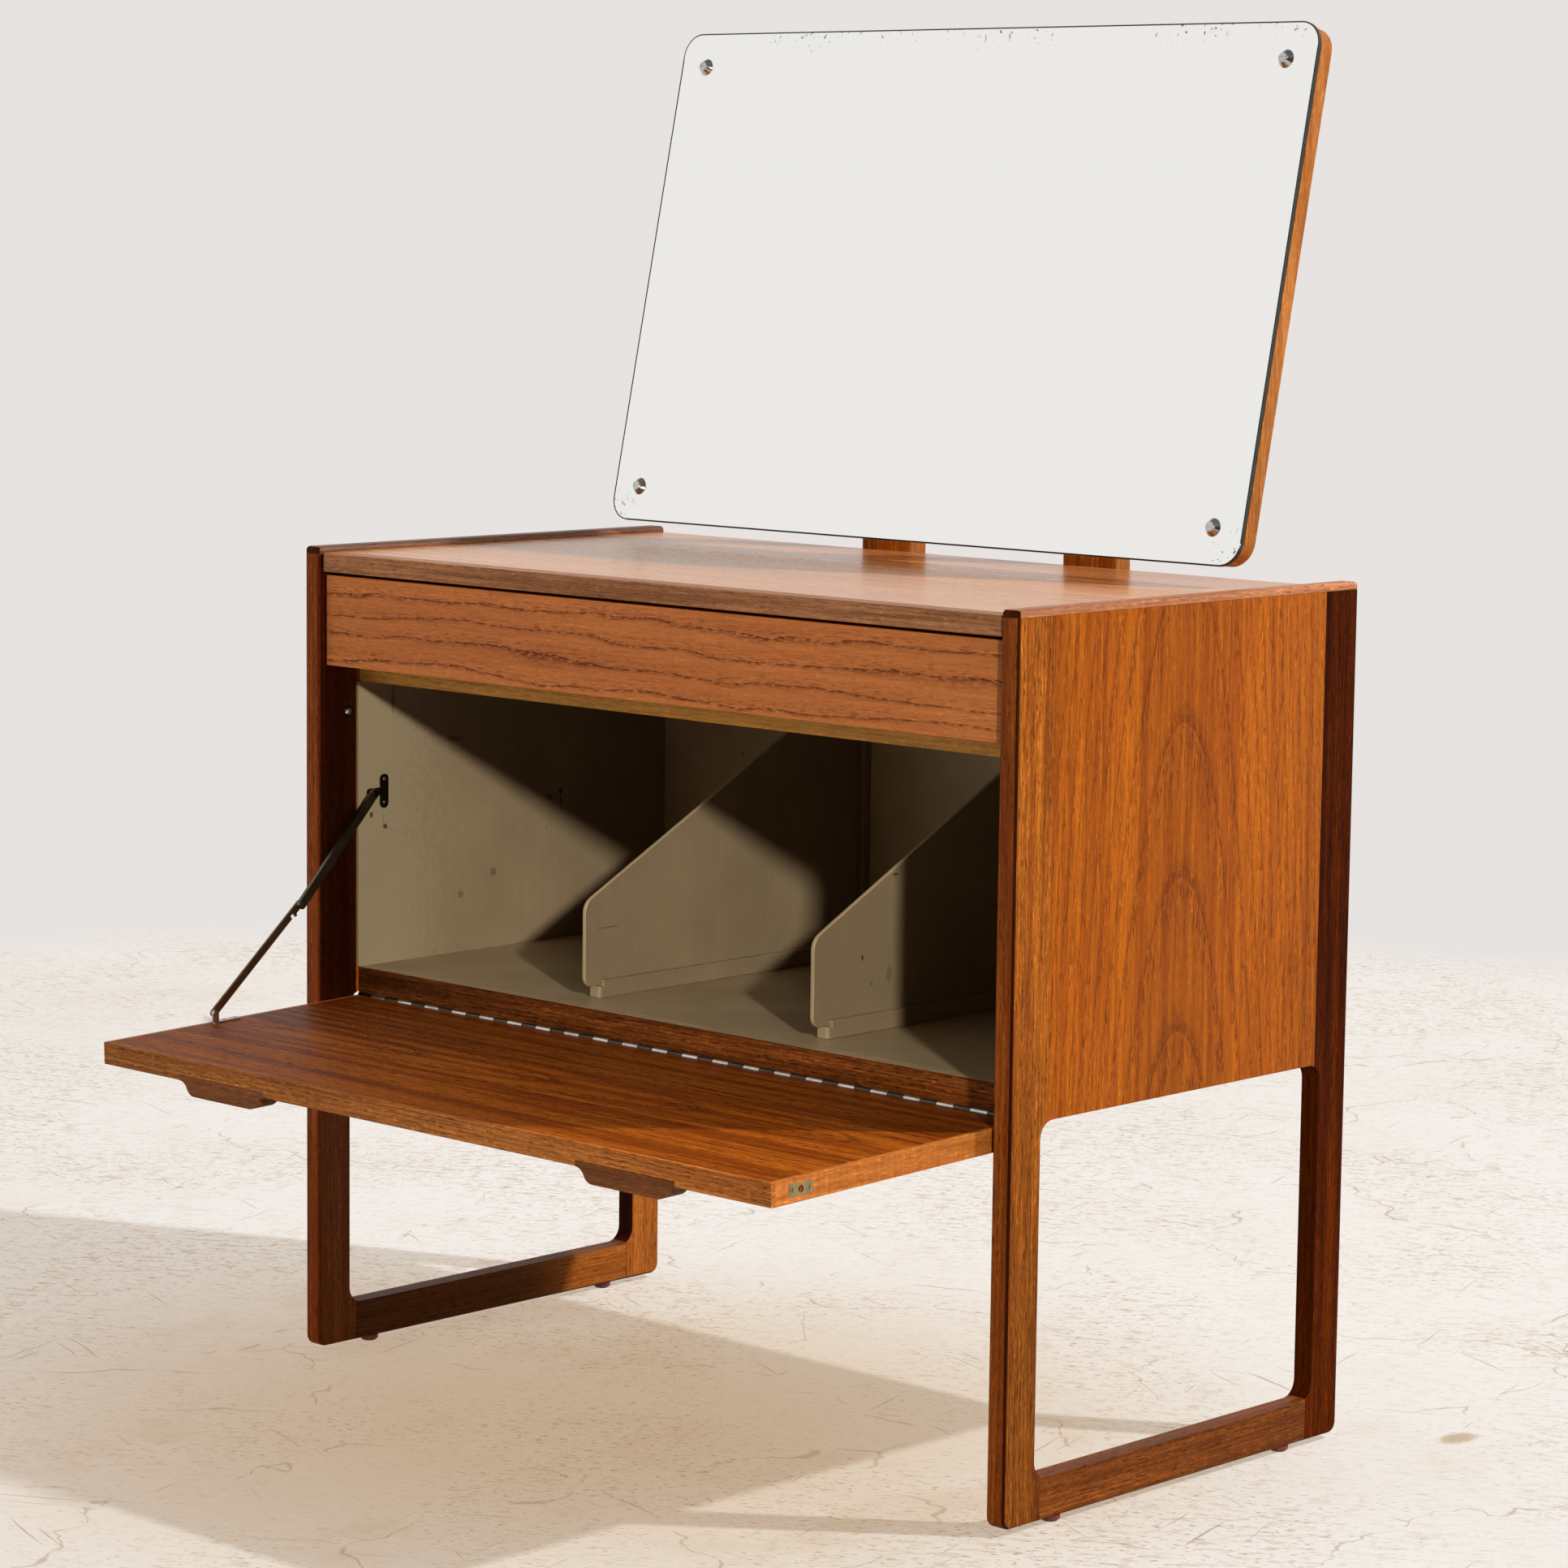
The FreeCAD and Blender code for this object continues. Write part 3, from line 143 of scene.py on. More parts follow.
# Figure of the wood: length along the grain and width across it in metres, then detail and roughness,
# the drift of the rings as a length and a number of rings, and what a seed moves the figure by
WIGGLE = (0.014, 0.006)
BREAKS = (0.007, 0.0018, 3, 0.6)
DASHES = (0.011, 0.0014)
FINE_PORES = (0.020, 0.0005, 1)
THREADS = (0.05, 0.0022, 4, 0.7)
FLECKS = (0.007, 0.0015, 1)
STRIPES = (0.45, 0.010, 3, 0.55)
BROAD_BANDS = (0.60, 0.10, 1)
RIPPLES = (0.0035, 0.03, 1)
RING_DRIFT = 0.5
DRIFT_RINGS = 2.2
WIGGLE_SHARE = 0.35
STRIPE_SOFTNESS = 0.11
GRAIN_DEPTH = 0.0002
WOOD_STEPS = (7.31, 3.77, 5.13)
WOOD_IOR = 1.46
# Parts of a ring, from 0 to 1: the dark late wood, its sharp end, and the early wood with its pores
LATE_WOOD = (0.62, 0.97)
LATE_END = (0.965, 1.0)
EARLY_WOOD = (0.0, 0.55)

# Members of a side frame: axes of the grain and of the width, tones outside, in front and inside,
# shine, roughness, and the fades outside and inside, which are painted light and shade along one axis
FRAME_MEMBERS = (
    (
        "front_post", "z", "y", (SIDE_TONES, FRONT_TONES, INNER_TONES), 0.07, 0.42,
        # painted shade darkens the outside towards the bottom; painted light lightens the inside below the
        # compartment
        ("z", 0.15, 0.50, 0.52, 1.0), ("z", 0.25, 0.36, 1.75, 1.0),
    ),
    (
        "back_post", "z", "y", (DEEP_TONES, DEEP_TONES, LEG_TONES), 0.02, 0.42,
        # painted light lightens the outside towards the bottom; painted shade darkens the inside, most
        # towards the bottom
        ("z", 0.10, 0.42, 1.7, 1.0), ("z", 0.20, 0.36, 0.78, 0.9),
    ),
    (
        "bottom_rail", "y", "z", (RAIL_TONES, RAIL_TONES, LEG_TONES), 0.07, 0.42,
        # painted shade darkens the inside towards the front, where the body's shadow falls
        None, ("y", 0.12, 0.23, 0.30, 0.85),
    ),
    ("top_strip", "y", "x", (CAP_TONES, CAP_TONES, CAP_TONES), 0.5, 0.32, None, None),
)
# Tones of the left frame's members that differ from the right one's: painted light on the front post's front,
# which the side lamp is kept off, and painted shade on the top strip
LEFT_TONES = {
    "front_post": (SIDE_TONES, LEFT_FRONT_LIT_TONES, INNER_TONES),
    "top_strip": (LEFT_CAP_SHADED_TONES, LEFT_CAP_SHADED_TONES, LEFT_CAP_SHADED_TONES),
}
FIRST_SEEDS = {"left": 2, "right": 7}
FIRST_BOX_SEED = 12
# Flames of the veneer: their axis, sharpness and the step between tips, in metres
PANEL_ARCH = (0.0925, 0.0110, -0.120)
DOOR_ARCH = (-0.20, 0.0035, -0.16)
# Painted light and shade on the door's panel: lighter at the front, darker by the hinge
DOOR_PAINTED_LIGHT = ("y", -0.34, -0.08, 1.28, 0.82)
# The shelf lip darker towards its left end and lighter towards the middle
LIP_FADE = ("x", -0.38, -0.05, 0.7, 1.25)
# Drawer's hole, a dark spot of painted shade: middle, radii, tint and strength
DRAWER_HOLE_SHADE = ((-0.2253, 0, 0.6105), (0.0007, 0, 0.0014), (0.02, 0.006, 0.003), 0.95)

# Nodes of plain wood: axes of the grain and of the width
BOX_NODES = (
    ("top_back_rail", "x", "z"),
    ("left_runner", "y", "z"),
    ("right_runner", "y", "z"),
    ("left_drawer_side", "y", "z"),
    ("right_drawer_side", "y", "z"),
    ("drawer_back", "x", "z"),
    ("drawer_bottom", "x", "y"),
)

# Eased arrises and the gap under which points are welded, in metres, then angles between faces
THIN_ARRIS = 0.0003
PAINTED_ARRIS = 0.0004
BOX_ARRIS = 0.0005
ARRIS = 0.0006
WIDE_ARRIS = 0.0008
ROUND_ARRIS = 0.0012
BOARD_ARRIS = 0.002
WELD = 1e-6
FLAT_ANGLE = math.radians(0.5)
SHARP_ANGLE = math.radians(40)

# How far a normal leans towards an axis: on a flat face, a strip's slanted front, a darkened arris
# and a batten's nose
FACING = 0.9
SLANTED = 0.4
ARRIS_OUTWARD = 0.25
ARRIS_FORWARD = 0.2
NOSE = 0.5

# Paint of the compartment: colour, what a seed moves it by, shine, and the tints of its wear
KHAKI = (0.305, 0.225, 0.126)
PAINT_STEPS = (1.7, 0.9, 2.3)
PAINT_SHINE = 0.4
PALE_SHARE, DEEP_SHARE = 1.06, 0.88
PAINT_STAIN_SHARES = (0.75, 0.66, 0.52)
PAINT_SPECK = (0.09, 0.055, 0.03)
PAINT_SCRATCH = (0.14, 0.10, 0.06)
SCRATCH_TURN = (0.5, 0.35, 0.4)
SCRATCH_CELLS = (300, 8, 300)
BRUSH_CELLS = (12, 260, 12)
# Noises of the paint: cells in a metre, detail and roughness
MOTTLES = (9, 5, 0.62)
GRAINS = (420, 3, 0.6)
PAINT_STAINS = (14, 4, 0.7)
SPECKS = (130, 2)
SCUFFED_PATCHES = (5, 2)
# Marks on the paint: middle, radii, tint and strength; a zero radius is ignored
LINER_MARKS_AND_LIGHT = (
    # painted light: lightens the front of the left lining
    ((0, -0.1000, 0.4500), (0, 0.1300, 0.4000), (0.410, 0.330, 0.200), 0.7),
    ((0, -0.0466, 0.4660), (0, 0.0020, 0.0024), (0.05, 0.022, 0.010), 0.9),
    ((0, -0.0307, 0.4547), (0, 0.0030, 0.0026), (0.05, 0.022, 0.010), 0.9),
    ((0, -0.0330, 0.4625), (0, 0.0007, 0.0060), (0.12, 0.08, 0.04), 0.35),
    # a hole, its shade painted as a near-black spot
    ((0, 0.1789, 0.4680), (0, 0.0026, 0.0026), (0.012, 0.008, 0.004), 0.95),
    ((0, 0.1795, 0.4590), (0, 0.0010, 0.0100), (0.03, 0.02, 0.01), 0.85),
    ((0, 0.1659, 0.4641), (0, 0.0028, 0.0028), (0.03, 0.02, 0.01), 0.7),
    ((0, 0.0969, 0.4025), (0, 0.0042, 0.0042), (0.15, 0.070, 0.022), 0.6),
    ((0, 0.0580, 0.3861), (0, 0.0034, 0.0034), (0.15, 0.070, 0.022), 0.55),
    ((0, -0.0216, 0.5650), (0, 0.0022, 0.0120), (0.05, 0.03, 0.015), 0.55),
    ((0, 0.0507, 0.5248), (0, 0.0100, 0.0022), (0.06, 0.04, 0.02), 0.5),
)
RIGHT_DIVIDER_MARKS = (
    ((0, 0.0245, 0.3955), (0, 0.0012, 0.0022), (0.05, 0.010, 0.006), 0.95),
    ((0, 0.0568, 0.3787), (0, 0.0035, 0.0070), (0.14, 0.070, 0.028), 0.5),
    ((0, 0.0628, 0.4594), (0, 0.0030, 0.0012), (0.05, 0.015, 0.008), 0.9),
)
LEFT_DIVIDER_MARKS = (((0, -0.0047, 0.3932), (0, 0.0140, 0.0006), (0.12, 0.08, 0.045), 0.7),)

# Mirror: width of the glass's bare rim and reach and edge of the foxing, in metres, its noises and colours
GLASS_RIM = 0.0011
FOXED_REACH = 0.045
FOXED_EDGE = 0.001
FOXED_SPECKS = (260, 3, 0.6)
FOXED_PATCHES = (14, 2)
SILVER = (0.985, 0.99, 0.985)
FOXED = (0.03, 0.03, 0.03)

# Metals: bright and dull colours, roughness, seed and grime
METALS = {
    "chrome": ((0.86, 0.86, 0.85), (0.55, 0.53, 0.50), 0.07, 1, 0.15),
    "stay_bronze": ((0.30, 0.20, 0.115), (0.10, 0.06, 0.035), 0.34, 2, 0.6),
    "stay_dark": ((0.070, 0.060, 0.048), (0.02, 0.016, 0.012), 0.28, 3, 0.5),
    "stay_gunmetal": ((0.20, 0.165, 0.115), (0.05, 0.04, 0.03), 0.30, 8, 0.5),
    "strike_brass": ((0.42, 0.31, 0.15), (0.12, 0.08, 0.04), 0.32, 4, 0.7),
    "hinge_steel": ((0.74, 0.71, 0.67), (0.22, 0.18, 0.14), 0.22, 5, 0.5),
    # Painted shade: the case leaf's steel, a darker copy of the door leaf's
    "hinge_shaded_steel": ((0.10, 0.085, 0.07), (0.04, 0.03, 0.025), 0.32, 7, 0.5),
    "bracket_steel": ((0.55, 0.52, 0.47), (0.18, 0.14, 0.10), 0.28, 6, 0.5),
    "stud_chrome": ((0.58, 0.58, 0.57), (0.16, 0.15, 0.14), 0.10, 9, 0.7),
}
METAL_OF = {
    "left_catch_ball": "chrome",
    "right_catch_ball": "chrome",
    "mirror_studs": "stud_chrome",
    "stay_lower_arm": "stay_bronze",
    "stay_upper_arm": "stay_gunmetal",
    "stay_wall_bracket": "stay_dark",
    "stay_door_bracket": "bracket_steel",
    "strike_plates": "strike_brass",
    "catch_barrels": "stay_dark",
    "hinge_case_leaf": "hinge_shaded_steel",
    "hinge_door_leaf": "hinge_steel",
    "post_brackets": "bracket_steel",
    "mirror_brackets": "bracket_steel",
    "mirror_pivot_bolts": "bracket_steel",
}
METAL_STEPS = (1.1, 2.1, 0.7)
METAL_CLOUDS = (60, 4, 0.6)
SCUFF_CELLS = (900, 135, 135)
SCUFF_DEPTH = 0.00005

# Plain materials: colours, noises and depth of the relief in metres
GLASS_EDGE = (0.016, 0.026, 0.022)
GLIDE_RED = (0.17, 0.025, 0.010)
# Painted shade: the black of a screw's slot
SLOT_SHADE = (0.012, 0.010, 0.008)
PLAIN_MOTTLES = (40, 4, 0.6)
PLAIN_RELIEF = (800, 2)
RELIEF_DEPTH = 0.0001

# Screw and rivet heads: segments, radius and height in metres, and half the length, height and width
# of a slot
HEAD_SEGMENTS, HEAD_RINGS = 20, 12
SCREW_HEAD = (0.0018, 0.0007)
WALL_SCREW_HEAD = (0.0016, 0.0010)
RIVET_HEAD = (0.0014, 0.0008)
SLOT_LENGTH, SLOT_HEIGHT, SLOT_WIDTH = 0.0016, 0.00075, 0.0003
# Screws and rivets: depth of a head's middle in the strike plate, its share of the half length, thickness
# of the stay's plate, shares of its length from the front, and places in metres
STRIKE_INSET = 0.0005
STRIKE_SHARE = 0.68
STAY_PLATE_THICKNESS = 0.0015
STAY_PLATE_SHARES = {"middle": 0.50, "back": 0.86}
WALL_SCREW_PLACES = {"upper": (-0.3775, -0.0331, 0.4966), "lower": (-0.3775, -0.0331, 0.4765)}
RIVET_PLACE = (-0.3705, -0.0493, 0.4860)


class Nodes:
    """Node tree of a material, a lamp or the world, built with short calls."""

    def __init__(self, owner, output):
        owner.use_nodes = True
        self.tree = owner.node_tree
        self.tree.nodes.clear()
        self.output = self.tree.nodes.new(output)

    def put(self, socket, value):
        """Link or set one input; a colour of three numbers is made opaque."""
        if isinstance(value, bpy.types.NodeSocket):
            self.tree.links.new(value, socket)
        elif value is not None:
            bare = socket.type == "RGBA" and len(value) == 3
            socket.default_value = (*value, 1) if bare else value

    def add(self, kind, inputs=(), **settings):
        """Node with its settings and inputs; inputs go by name or by number."""
        node = self.tree.nodes.new(kind)
        for name, value in settings.items():
            setattr(node, name, value)
        for key, value in dict(inputs).items():
            self.put(node.inputs[key], value)
        return node

    def show(self, shader):
        """Shader that the tree ends in."""
        self.put(self.output.inputs["Surface"], shader)

    def math(self, operation, first, second=None, third=None):
        """Result of one sum."""
        return self.add("ShaderNodeMath", {0: first, 1: second, 2: third}, operation=operation).outputs[0]

    def vector(self, operation, first, second):
        """Result of one vector sum."""
        return self.add("ShaderNodeVectorMath", {0: first, 1: second}, operation=operation).outputs[0]

    def length(self, vector):
        """Length of a vector."""
        return self.add("ShaderNodeVectorMath", {0: vector}, operation="LENGTH").outputs["Value"]

    def turned(self, vector, turn):
        """Vector turned about the axes."""
        inputs = {"Vector": vector, "Rotation": turn}
        return self.add("ShaderNodeVectorRotate", inputs, rotation_type="EULER_XYZ").outputs[0]

    def noise(self, vector, scale=1.0, detail=2.0, roughness=0.5):
        """Value of a noise texture, from 0 to 1."""
        inputs = {"Vector": vector, "Scale": scale, "Detail": detail, "Roughness": roughness}
        return self.add("ShaderNodeTexNoise", inputs).outputs["Fac"]

    def spread(self, value, low, high, to_low=0.0, to_high=1.0, smooth=True):
        """Value carried from one range to another and held at its ends."""
        kind = "SMOOTHSTEP" if smooth else "LINEAR"
        inputs = {"Value": value, "From Min": low, "From Max": high, "To Min": to_low, "To Max": to_high}
        return self.add("ShaderNodeMapRange", inputs, interpolation_type=kind).outputs["Result"]

    def mix(self, factor, first, second, blend="MIX"):
        """Mix of two colours."""
        node = self.add("ShaderNodeMix", data_type="RGBA", blend_type=blend, clamp_factor=True)
        for name, value in (("Factor_Float", factor), ("A_Color", first), ("B_Color", second)):
            self.put(next(item for item in node.inputs if item.identifier == name), value)
        return next(item for item in node.outputs if item.identifier == "Result_Color")

    def shade(self, factor, colour):
        """Colour times a factor: darker under 1 and lighter over it."""
        grey = self.add("ShaderNodeCombineXYZ", {0: factor, 1: factor, 2: factor}).outputs[0]
        return self.mix(1.0, colour, grey, "MULTIPLY")

    def blend(self, share, first, second):
        """Mix of two shaders."""
        return self.add("ShaderNodeMixShader", {0: share, 1: first, 2: second}).outputs[0]


class Finish(Nodes):
    """Node tree of one material, in the object's own coordinates."""

    def __init__(self, name):
        self.material = bpy.data.materials.new(name)
        super().__init__(self.material, "ShaderNodeOutputMaterial")
        self.place = self.add("ShaderNodeTexCoord").outputs["Object"]

    def bump(self, height, distance, strength=0.3):
        """Normal roughened by a height."""
        inputs = {"Height": height, "Distance": distance, "Strength": strength}
        return self.add("ShaderNodeBump", inputs).outputs[0]

    def spotted(self, colour, centre, radii, tint, strength):
        """Colour with one soft-edged spot, round or a drip where one radius is long; it draws stains, painted
        light and painted shade.
        """
        wobble = self.noise(self.place, WOBBLE_CELLS)
        offset = self.vector("SUBTRACT", self.place, centre)
        offset = self.vector("MULTIPLY", offset, tuple(1 / radius if radius else 0 for radius in radii))
        reach = self.math("MULTIPLY_ADD", wobble, WOBBLE_REACH, self.length(offset))
        return self.mix(self.spread(reach, *STAIN_EDGE, strength, 0.0), colour, tint)

    def done(self, colour, roughness, normal=None, fixed=()):
        """Material with a principled shader of the given colour, roughness and other inputs."""
        inputs = {"Base Color": colour, "Roughness": roughness, "Normal": normal, **dict(fixed)}
        self.show(self.add("ShaderNodeBsdfPrincipled", inputs).outputs[0])
        return self.material


def linked(name, data):
    """Object with the given data, linked to the scene."""
    thing = bpy.data.objects.new(name, data)
    bpy.context.collection.objects.link(thing)
    return thing


def camera_axes():
    """Right, up and backward directions of the camera."""
    yaw, pitch, roll = (math.radians(angle) for angle in (CAMERA_YAW, CAMERA_PITCH, CAMERA_ROLL))
    forward = Vector((-math.sin(yaw) * math.cos(pitch), math.cos(yaw) * math.cos(pitch), -math.sin(pitch)))
    level = Vector((math.cos(yaw), math.sin(yaw), 0))
    upright = level.cross(forward)
    right = math.cos(roll) * level + math.sin(roll) * upright
    up = math.cos(roll) * upright - math.sin(roll) * level
    return right, up, -forward


def add_camera():
    """Camera where the photographer stood."""
    data = bpy.data.cameras.new("camera")
    data.sensor_width = CAMERA_SENSOR
    data.lens = CAMERA_LENS
    data.clip_end = CAMERA_CLIP
    camera = linked("camera", data)
    camera.matrix_world = Matrix.Translation(CAMERA_PLACE) @ Matrix(camera_axes()).transposed().to_4x4()
    bpy.context.scene.camera = camera


def add_lamp(name, place, radius, strength, colour):
    """Studio lamp near the object; its light is as strong at any distance."""
    data = bpy.data.lights.new(name, "POINT")
    data.energy = strength * 4 * math.pi
    data.shadow_soft_size = radius
    data.color = colour
    nodes = Nodes(data, "ShaderNodeOutputLight")
    falloff = nodes.add("ShaderNodeLightFalloff", {"Strength": 1.0})
    nodes.show(nodes.add("ShaderNodeEmission", {"Strength": falloff.outputs["Constant"]}).outputs[0])
    lamp = linked(name, data)
    lamp.location = place
    return lamp


def shade_from(lamp, things):
    """Flag that keeps a lamp off some things."""
    group = bpy.data.collections.new(f"{lamp.name}_flag")
    lamp.light_linking.receiver_collection = group
    for thing in things:
        group.objects.link(thing)
    for link in group.collection_objects:
        link.light_linking.link_state = "EXCLUDE"


def add_world():
    """Pale studio: an even backdrop to look at, which lights the object from all but its dark end."""
    world = bpy.data.worlds.new("studio")
    bpy.context.scene.world = world
    nodes = Nodes(world, "ShaderNodeOutputWorld")
    heading = nodes.add("ShaderNodeTexCoord").outputs["Generated"]
    azimuth = math.radians(DARK_AZIMUTH)
    towards_dark = (math.cos(azimuth), math.sin(azimuth), 0)
    lean = nodes.add("ShaderNodeVectorMath", {0: heading, 1: towards_dark}, operation="DOT_PRODUCT")
    wall = nodes.spread(lean.outputs["Value"], *DARK_RANGE, 1.0, DARK_LEVEL)
    up = nodes.add("ShaderNodeSeparateXYZ", {0: heading}).outputs[2]
    roof = nodes.spread(up, *CEILING_RANGE, 1.0, CEILING_LEVEL)
    path = nodes.add("ShaderNodeLightPath").outputs
    shine = nodes.math("MAXIMUM", path["Is Glossy Ray"], path["Is Transmission Ray"])
    gain = nodes.spread(shine, 0.0, 1.0, SKY_LEVEL, 1.0, smooth=False)
    strength = nodes.math("MULTIPLY", nodes.math("MULTIPLY", wall, roof), gain)
    light = nodes.add("ShaderNodeBackground", {"Color": STUDIO_TINT, "Strength": strength}).outputs[0]
    backdrop = nodes.add("ShaderNodeBackground", {"Color": BACKDROP, "Strength": 1.0}).outputs[0]
    nodes.show(nodes.blend(path["Is Camera Ray"], light, backdrop))


def floor_tint(nodes, grains):
    """Colour of the floor before its level: clouds, painted shade under the body, wear, cracks, a stain and
    hairlines.
    """
    place = nodes.place
    cloud = nodes.noise(place, *CLOUDS)
    blotch = nodes.noise(place, *BLOTCHES)
    away = nodes.length(nodes.vector("SUBTRACT", place, UNDER_BODY_SHADE_PLACE))
    tint = nodes.mix(nodes.spread(cloud, 0.3, 0.7), FLOOR_CREAM, FLOOR_WHITE)
    tint = nodes.mix(nodes.spread(blotch, 0.52, 0.74, 0.0, 0.5), tint, FLOOR_BLOTCH)
    # Painted shade: browner and darker under the body, and mottled there.
    tint = nodes.mix(nodes.spread(away, 0.10, 0.75, 1.0, 0.0), tint, FLOOR_UNDER_BODY_SHADE, "MULTIPLY")
    mottled_shade = nodes.spread(blotch, 0.48, 0.70, 0.0, 0.5)
    tint = nodes.mix(nodes.math("MULTIPLY", mottled_shade, nodes.spread(away, 0.2, 0.8, 1.0, 0.0)), tint, FLOOR_MOTTLED_SHADE)
    patches = nodes.spread(nodes.noise(place, *WEAR_PATCHES), 0.40, 0.62, 0.3, 1.0)
    for grain, (*_, span, strength, stain) in zip(grains, FLOOR_WEAR):
        amount = nodes.math("MULTIPLY", nodes.spread(grain, *span), nodes.math("MULTIPLY", patches, strength))
        tint = nodes.mix(amount, tint, stain)
    bend = nodes.add("ShaderNodeTexNoise", {"Vector": place, "Scale": BEND_CELLS, "Detail": 4.0})
    bend = bend.outputs["Color"]
    bent = nodes.vector("ADD", place, nodes.vector("MULTIPLY", bend, CRACK_BEND))
    inputs = {"Vector": bent, "Scale": CRACK_CELLS}
    cells = nodes.add("ShaderNodeTexVoronoi", inputs, feature="DISTANCE_TO_EDGE")
    crack = nodes.spread(cells.outputs["Distance"], 0.0, CRACK_WIDTH, 1.0, 0.0)
    crack = nodes.math("MULTIPLY", crack, nodes.spread(nodes.noise(place, *CRACK_GAPS), 0.48, 0.56))
    tint = nodes.mix(nodes.math("MULTIPLY", crack, 0.6), tint, FLOOR_CRACK)
    tint = nodes.spotted(tint, *FLOOR_STAIN)
    bent = nodes.vector("ADD", place, nodes.vector("MULTIPLY", bend, HAIR_BEND))
    for bearing in HAIR_BEARINGS:
        space = nodes.vector("MULTIPLY", nodes.turned(bent, (0, 0, bearing)), HAIR_CELLS)
        tint = nodes.mix(nodes.spread(nodes.noise(space, 1, 1), 0.74, 0.78, 0.0, 0.75), tint, FLOOR_HAIR)
    return tint


def concrete():
    """Pale stained concrete that fades into the backdrop."""
    nodes = Finish("floor_paint")
    turned = nodes.turned(nodes.place, WEAR_TURN)
    grains = [
        nodes.noise(nodes.vector("MULTIPLY", turned, cells), 1, detail, roughness)
        for cells, detail, roughness, *_ in FLOOR_WEAR
    ]
    tint = floor_tint(nodes, grains)
    lit = nodes.mix(1.0, tint, FLOOR_LIT, "MULTIPLY")
    shown = nodes.mix(1.0, tint, FLOOR_SHOWN, "MULTIPLY")
    normal = nodes.bump(grains[0], PIT_DEPTH, 0.2)
    skin = nodes.add("ShaderNodeBsdfDiffuse", {"Color": lit, "Normal": normal}).outputs[0]
    glow = nodes.add("ShaderNodeEmission", {"Color": shown}).outputs[0]
    path = nodes.add("ShaderNodeLightPath").outputs
    seen = nodes.math("MAXIMUM", path["Is Camera Ray"], path["Is Glossy Ray"])
    both = nodes.add("ShaderNodeAddShader", {0: skin, 1: glow}).outputs[0]
    clear = nodes.add("ShaderNodeBsdfTransparent").outputs[0]
    fade = nodes.spread(nodes.length(nodes.place), *FLOOR_FADE)
    nodes.show(nodes.blend(fade, nodes.blend(seen, skin, both), clear))
    return nodes.material


def add_floor():
    """Round slab of concrete."""
    work = bmesh.new()
    bmesh.ops.create_circle(work, cap_ends=True, segments=FLOOR_SEGMENTS, radius=FLOOR_RADIUS)
    mesh = bpy.data.meshes.new("floor")
    work.to_mesh(mesh)
    work.free()
    floor = linked("floor", mesh)
    mesh.materials.append(concrete())
    return floor


